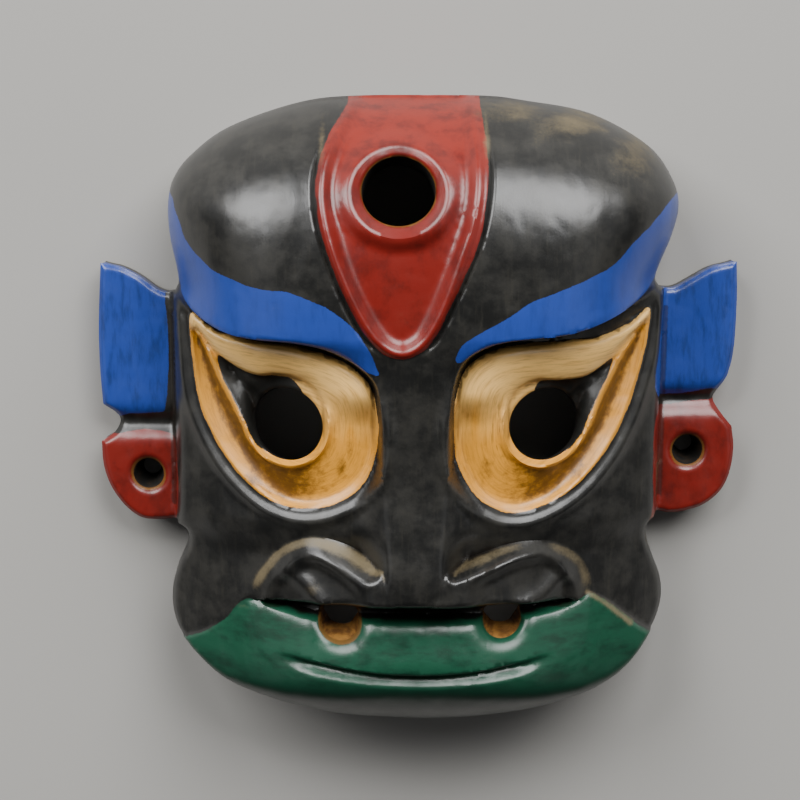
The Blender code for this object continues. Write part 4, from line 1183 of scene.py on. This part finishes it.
front_drawn = to_drawing(front_flat)
measures = {
    "sharp": sharpness(front_flat, DIRT_AND_SHADE_REACH),
    "worn": wear(front_drawn),
    "cracked": spots(front_drawn, CRACKED_SPOTS),
    "dirt_shade_and_light": gold_dirt_shade_and_light(front_drawn)}
measures["sharp"][distance_inside(front_flat, ring) < OUTLINE_BAND] = 0
rest = len(vertices) - len(front_flat)
for name, values in measures.items():
    give_values(name, np.concatenate([values, np.zeros(rest)]))
    print(name, "from", round(values.min(), 2), "to", round(values.max(), 2))

# %% [markdown]
# ## The materials
#
# The wood was sealed with black lacquer, thin and brushed, so it is a satin charcoal and not a piano black.
# The colours are brushed over it in one or two thin coats, which is why streaks of black show through them.
# Where hands and cloth rub, the paint goes first on the edges and the tan of the wood shows.

# %% Helpers for the materials
def colour(code):
    """A colour written as sRGB hex, as the linear values that a shader works in."""
    parts = [int(code[i:i + 2], 16) / 255 for i in (1, 3, 5)]
    linear = [part / 12.92 if part <= 0.04045 else ((part + 0.055) / 1.055) ** 2.4 for part in parts]
    return (*linear, 1.0)


def add(tree, kind, links=(), out=None, **settings):
    """Adds one node with its settings and links, and gives back the output asked for, or its first one."""
    made = tree.nodes.new("ShaderNode" + kind)
    for name, value in settings.items():
        setattr(made, name, value)
    for name, value in dict(links).items():
        in_use = [socket for socket in made.inputs if socket.enabled]
        socket = in_use[name] if isinstance(name, int) else next(item for item in in_use if item.name == name)
        if isinstance(value, bpy.types.NodeSocket):
            tree.links.new(value, socket)
        else:
            socket.default_value = value
    in_use = [socket for socket in made.outputs if socket.enabled]
    return made.outputs[out] if out else in_use[0] if in_use else None


def new_material(name):
    """An empty material, its tree, and the place on the object in millimetres."""
    material = bpy.data.materials.new(name)
    material.use_nodes = True
    tree = material.node_tree
    tree.nodes.clear()
    place = add(tree, "TexCoord", out="Object")
    return material, tree, add(tree, "VectorMath", {0: place, 1: (1000, 1000, 1000)}, operation="MULTIPLY")


SOFT = {"interpolation_type": "SMOOTHSTEP"}
COLOURS = {"data_type": "RGBA"}

# %% [markdown]
# ## The lacquered and painted front
#
# Each coat is laid over the one before. A coat's edge is where its distance is 0, pushed in and out by fine
# noise as the hairs of a brush do. The black is a thin satin lacquer, a little cloudy from age, so the eye
# reads charcoal and not piano black. Its roughness is 0.28 to 0.36. Its IOR is 1.58, a little above a
# lacquer's 1.5, because the sheen in the photograph is strong.

# %% The black lacquer
painted, tree, place = new_material("brushed_lacquer_and_paint")
value_of = {name: add(tree, "Attribute", out="Fac", attribute_name=name) for name in [*paint, *measures]}
clouds = add(tree, "TexNoise", {"Vector": place, "Scale": 1 / 13, "Detail": 6, "Roughness": 0.65})
fine = add(tree, "TexNoise", {"Vector": place, "Scale": 1 / 0.9, "Detail": 4, "Roughness": 0.7})
brushed = add(tree, "VectorMath", {0: place, 1: (1 / 1.5, 1 / 14, 1 / 14)}, operation="MULTIPLY")
strokes = add(tree, "TexNoise", {"Vector": brushed, "Scale": 1.0, "Detail": 5, "Roughness": 0.65})
cloudy = add(tree, "MapRange", {"Value": clouds, "From Min": 0.38, "From Max": 0.66}, **SOFT)
black = add(tree, "Mix", {"Factor": cloudy, "A": colour("#181817"), "B": colour("#2B2A27")}, **COLOURS)
thin = add(tree, "MapRange", {"Value": strokes, "From Min": 0.5, "From Max": 0.8, "To Max": 0.5}, **SOFT)
black = add(tree, "Mix", {"Factor": thin, "A": black, "B": colour("#34322C")}, **COLOURS)
gloss = add(tree, "MapRange", {
    "Value": clouds, "From Min": 0.3, "From Max": 0.7, "To Min": 0.28, "To Max": 0.36})

# %% The edge of a coat
# The hairs of the brush leave teeth about 0.8 mm wide, and the hand wavers over about 7 mm
teeth = add(tree, "TexNoise", {"Vector": place, "Scale": 1 / 0.8, "Detail": 3, "Roughness": 0.6})
waver = add(tree, "TexNoise", {"Vector": place, "Scale": 1 / 7, "Detail": 2, "Roughness": 0.5})
teeth = add(tree, "MapRange", {
    "Value": teeth, "From Min": 0.3, "From Max": 0.7, "To Min": -0.13, "To Max": 0.13})
waver = add(tree, "MapRange", {
    "Value": waver, "From Min": 0.3, "From Max": 0.7, "To Min": -0.25, "To Max": 0.25})
push = add(tree, "Math", {0: teeth, 1: waver}, operation="ADD")


def coat(name, under, main, streak, marks, size, share):
    """One brushed colour laid over what is under it, with streaks of a second shade of the given size."""
    edge = add(tree, "Math", {0: value_of[name], 1: push}, operation="ADD")
    inside = add(tree, "MapRange", {"Value": edge, "From Min": -0.13, "From Max": 0.13}, **SOFT)
    marks = add(tree, "VectorMath", {0: marks, 1: tuple(1 / length for length in size)}, operation="MULTIPLY")
    streaks = add(tree, "TexNoise", {"Vector": marks, "Scale": 1.0, "Detail": 5, "Roughness": 0.66})
    streaky = add(tree, "MapRange", {
        "Value": streaks, "From Min": 0.42, "From Max": 0.72, "To Max": share}, **SOFT)
    shade = add(tree, "Mix", {"Factor": streaky, "A": main, "B": streak}, **COLOURS)
    return add(tree, "Mix", {"Factor": inside, "A": under, "B": shade}, **COLOURS)


# %% Blue and green
# The blue is thin on the ears, where dark streaks of the lacquer show through, and fuller on the brows
x, y = (add(tree, "SeparateXYZ", {0: place}, out=axis) for axis in "XY")
sideways = add(tree, "Math", {0: x}, operation="ABSOLUTE")
thin_blue = add(tree, "MapRange", {
    "Value": sideways, "From Min": 88, "From Max": 94, "To Min": 0.25, "To Max": 0.6})
face = coat("blue", black, colour("#254090"), colour("#1A284E"), place, (3, 14, 14), thin_blue)
# The green is painted darker towards the bottom of the chin: painted shade where the chin turns under, away
# from the light
chin = add(tree, "MapRange", {"Value": y, "From Min": -84, "From Max": -108}, **SOFT)
green_shaded_down_chin = add(tree, "Mix", {"Factor": chin, "A": colour("#144632"), "B": colour("#081B13")}, **COLOURS)
face = coat("green", face, green_shaded_down_chin, colour("#0A2419"), place, (14, 6, 14), 0.7)

# %% Red
# The red is a brick red, more orange on the crown, with darker and browner blotches
crown = add(tree, "MapRange", {"Value": y, "From Min": 80, "From Max": 110}, **SOFT)
brick = add(tree, "Mix", {"Factor": crown, "A": colour("#721B14"), "B": colour("#822013")}, **COLOURS)
face = coat("red", face, brick, colour("#4A120F"), place, (8, 13, 8), 0.75)

# %% Gold
# The ochre gold was brushed round each eye, so its streaks follow the rim. The upper band is painted lighter,
# a painted light, and the channel below is brown with dirt and painted shade, with fine cracks where the wood
# moved
follow = add(tree, "CombineXYZ", {0: value_of["gold"], 1: x, 2: y})
# Painted light: where that value is below 0 the gold is mixed lighter, as on the lit upper bands
painted_band_light = add(tree, "MapRange", {"Value": value_of["dirt_shade_and_light"], "From Min": 0, "From Max": -0.9})
ochre = add(tree, "Mix", {"Factor": painted_band_light, "A": colour("#D4912C"), "B": colour("#F2C272")}, **COLOURS)
face = coat("gold", face, ochre, colour("#905E18"), follow, (0.8, 9, 9), 0.5)
in_gold = add(tree, "MapRange", {"Value": value_of["gold"], "From Min": -0.1, "From Max": 0.3}, **SOFT)
patches = add(tree, "TexNoise", {"Vector": follow, "Scale": 1 / 3.2, "Detail": 5, "Roughness": 0.7})
patches = add(tree, "MapRange", {
    "Value": patches, "From Min": 0.3, "From Max": 0.7, "To Min": -0.3, "To Max": 0.3})
gathered_dirt_and_shade = add(tree, "Math", {0: value_of["dirt_shade_and_light"], 1: patches}, operation="ADD")
gathered_dirt_and_shade = add(tree, "MapRange", {
    "Value": gathered_dirt_and_shade, "From Min": 0.05, "From Max": 0.9, "To Max": 0.88}, **SOFT)
# The gold is mixed brown in the channels: dirt, and painted shade
browned_and_shaded = add(tree, "Math", {0: in_gold, 1: gathered_dirt_and_shade}, operation="MULTIPLY")
face = add(tree, "Mix", {"Factor": browned_and_shaded, "A": face, "B": colour("#4C300E")}, **COLOURS)
along = add(tree, "VectorMath", {0: follow, 1: (1 / 0.9, 1 / 7, 1 / 7)}, operation="MULTIPLY")
hairline = add(tree, "TexNoise", {"Vector": along, "Scale": 1.0, "Detail": 1, "Roughness": 0.4})
hairline = add(tree, "MapRange", {"Value": hairline, "From Min": 0.56, "From Max": 0.62}, **SOFT)
cracked = add(tree, "Math", {0: hairline, 1: value_of["cracked"]}, operation="MULTIPLY")
face = add(tree, "Mix", {"Factor": cracked, "A": face, "B": colour("#241A0E")}, **COLOURS)
face = coat("eyeball", face, colour("#1A1A18"), colour("#2B2A27"), place, (5, 5, 5), 0.7)

# %% Bare wood, dirt and painted shade in the hollows, and wear
bare = add(tree, "Math", {0: value_of["bare"], 1: push}, operation="ADD")
bare = add(tree, "MapRange", {"Value": bare, "From Min": -0.2, "From Max": 0.3, "To Max": 0.85}, **SOFT)
face = add(tree, "Mix", {"Factor": bare, "A": face, "B": colour("#6E4C22")}, **COLOURS)
# The hollows of the carving are darkened: dirt, and a painted shade that stands for the shadow in them
dirt_and_shade = add(tree, "MapRange", {
    "Value": value_of["sharp"], "From Min": -0.25, "From Max": -1.0, "To Max": 0.6}, **SOFT)
face = add(tree, "Mix", {"Factor": dirt_and_shade, "A": face, "B": colour("#17110B")}, **COLOURS)
rub = add(tree, "MapRange", {"Value": fine, "From Min": 0.3, "From Max": 0.7, "To Min": -0.1, "To Max": 0.1})
patchy = add(tree, "MapRange", {
    "Value": clouds, "From Min": 0.35, "From Max": 0.65, "To Min": -0.18, "To Max": 0.12})
rub = add(tree, "Math", {0: rub, 1: patchy}, operation="ADD")
rub = add(tree, "Math", {0: rub, 1: value_of["worn"]}, operation="ADD")
worn = add(tree, "MapRange", {"Value": rub, "From Min": 0.1, "From Max": 0.85, "To Max": 0.8}, **SOFT)
face = add(tree, "Mix", {"Factor": worn, "A": face, "B": colour("#6E6145")}, **COLOURS)
dull = add(tree, "Math", {0: worn, 1: 0.3, 2: gloss}, operation="MULTIPLY_ADD")
dull = add(tree, "Math", {0: in_gold, 1: 0.04, 2: dull}, operation="MULTIPLY_ADD")

# %% The brush's furrows
relief = add(tree, "Math", {0: strokes, 1: fine}, operation="ADD")
bump = add(tree, "Bump", {"Height": relief, "Strength": 0.16, "Distance": 0.0002})
shader = add(tree, "BsdfPrincipled", {"Base Color": face, "Roughness": dull, "Normal": bump, "IOR": 1.58})
add(tree, "OutputMaterial", {"Surface": shader})

# %% [markdown]
# ## The bored holes and the hollow back
#
# The nostrils were bored through bare wood, brown from age. The bores of the eyes, the third eye and the ears
# are painted black inside, a painted shade, so that they look deep. The back was left as the gouge cut it,
# and is dark from use.

# %% The bored wood
# Softwood cut across the grain: rough, so it has no shine, and warm beside the lacquer
bored, tree, place = new_material("bored_wood")
grain_lines = add(tree, "VectorMath", {0: place, 1: (1 / 6, 1 / 1.2, 1 / 6)}, operation="MULTIPLY")
grain_lines = add(tree, "TexNoise", {"Vector": grain_lines, "Scale": 1.0, "Detail": 4, "Roughness": 0.6})
grain_lines = add(tree, "MapRange", {"Value": grain_lines, "From Min": 0.35, "From Max": 0.7}, **SOFT)
wood = add(tree, "Mix", {"Factor": grain_lines, "A": colour("#5E3C18"), "B": colour("#94682E")}, **COLOURS)
shader = add(tree, "BsdfPrincipled", {"Base Color": wood, "Roughness": 0.6, "IOR": 1.5})
add(tree, "OutputMaterial", {"Surface": shader})

# %% The black inside the bores, a painted shade
# The same wood with one coat of black, soaked in and dull, standing in for the shade deep inside a bore
bore_shade, tree, place = new_material("painted_bore_shade")
soaked = add(tree, "TexNoise", {"Vector": place, "Scale": 1 / 4, "Detail": 4, "Roughness": 0.6})
soaked = add(tree, "MapRange", {"Value": soaked, "From Min": 0.4, "From Max": 0.75}, **SOFT)
wood = add(tree, "Mix", {"Factor": soaked, "A": colour("#11100E"), "B": colour("#2A1F14")}, **COLOURS)
shader = add(tree, "BsdfPrincipled", {"Base Color": wood, "Roughness": 0.6, "IOR": 1.5})
add(tree, "OutputMaterial", {"Surface": shader})

# %% The gouged back
gouged, tree, place = new_material("gouged_wood")
fibres = add(tree, "VectorMath", {0: place, 1: (1 / 1.2, 1 / 26, 1 / 6)}, operation="MULTIPLY")
fibres = add(tree, "TexNoise", {"Vector": fibres, "Scale": 1.0, "Detail": 5, "Roughness": 0.65})
stain = add(tree, "TexNoise", {"Vector": place, "Scale": 1 / 22, "Detail": 3, "Roughness": 0.6})
light_fibres = add(tree, "MapRange", {"Value": fibres, "From Min": 0.35, "From Max": 0.7}, **SOFT)
stained = add(tree, "MapRange", {"Value": stain, "From Min": 0.4, "From Max": 0.75, "To Max": 0.7}, **SOFT)
wood = add(tree, "Mix", {"Factor": light_fibres, "A": colour("#4A3320"), "B": colour("#7A5632")}, **COLOURS)
wood = add(tree, "Mix", {"Factor": stained, "A": wood, "B": colour("#2E2118")}, **COLOURS)
bump = add(tree, "Bump", {"Height": fibres, "Strength": 0.4, "Distance": 0.0003})
shader = add(tree, "BsdfPrincipled", {"Base Color": wood, "Roughness": 0.7, "Normal": bump, "IOR": 1.5})
add(tree, "OutputMaterial", {"Surface": shader})

# %% Give each face its material
for material in (painted, bored, gouged, bore_shade):
    mesh.materials.append(material)
material_numbers = np.zeros(len(triangles), np.int32)
material_numbers[side_count:side_count + len(back_faces)] = 2
first = side_count + len(back_faces)
# The nostril bores get the bored wood, and all other bores the black that stands for the shade inside them
for name in HOLES:
    material_numbers[first:first + 2 * HOLE_SIDES * BORE_ROWS] = 1 if name.endswith("nostril") else 3
    first += 2 * HOLE_SIDES * BORE_ROWS
mesh.polygons.foreach_set("material_index", material_numbers)
mesh.update()
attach(mask, "root")
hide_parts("mask")
print("faces of each material:", np.bincount(material_numbers).tolist())

# %% [markdown]
# ## The floor, the light and the camera
#
# The mask lies on a pale floor. Two large soft lights stand beyond its forehead, as the photograph's stood
# above and before the upright mask, and two weak ones lighten the sides. The camera looks down from the
# photograph's angle.

# %% The floor
bpy.ops.mesh.primitive_plane_add(size=6.0)
floor = bpy.context.object
floor.name = "floor"
floor_material, tree, _ = new_material("pale_floor")
shader = add(tree, "BsdfPrincipled", {"Base Color": colour("#9F9D99"), "Roughness": 0.8})
add(tree, "OutputMaterial", {"Surface": shader})
floor.data.materials.append(floor_material)


# %% The lights
def soft_light(name, place, target, size, power):
    """A rectangular soft light of a size in metres and a power in watts, aimed at a spot."""
    lamp = bpy.data.lights.new(name, "AREA")
    lamp.shape = "RECTANGLE"
    lamp.size, lamp.size_y = size
    lamp.energy = power
    item = bpy.data.objects.new(name, lamp)
    item.location = place
    item.rotation_euler = (Vector(target) - Vector(place)).to_track_quat("-Z", "Y").to_euler()
    bpy.context.scene.collection.objects.link(item)


LIT_SPOT = (0, 0, 0.04)
soft_light("left_soft_light", (-1.50, 1.74, 1.54), LIT_SPOT, (1.65, 1.60), 98)
soft_light("right_soft_light", (0.86, 1.80, 1.58), LIT_SPOT, (1.80, 1.60), 108)
soft_light("left_side_light", (-2.1, -0.1, 1.9), LIT_SPOT, (1.8, 1.8), 4)
soft_light("right_side_light", (2.1, -0.1, 1.9), LIT_SPOT, (1.8, 1.8), 4)
world = bpy.data.worlds.new("studio")
bpy.context.scene.world = world
world.use_nodes = True
world.node_tree.nodes["Background"].inputs["Color"].default_value = colour("#C8CCD2")
world.node_tree.nodes["Background"].inputs["Strength"].default_value = 0.05

# %% The camera
# Where the camera stands and what it looks at, in metres
CAMERA_PLACE = (-0.0067, 0.1688, 0.8025)
CAMERA_TARGET = (-0.0067, 0.0025, 0.0200)
camera_data = bpy.data.cameras.new("camera")
camera_data.lens = 96.0
camera_data.sensor_width = 36.0
camera = bpy.data.objects.new("camera", camera_data)
away = (Vector(CAMERA_PLACE) - Vector(CAMERA_TARGET)).normalized()
to_the_right = Vector((0, 1, 0)).cross(away).normalized()
turned = Matrix((to_the_right, away.cross(to_the_right), away)).transposed().to_4x4()
camera.matrix_world = Matrix.Translation(CAMERA_PLACE) @ turned
bpy.context.scene.collection.objects.link(camera)
bpy.context.scene.camera = camera
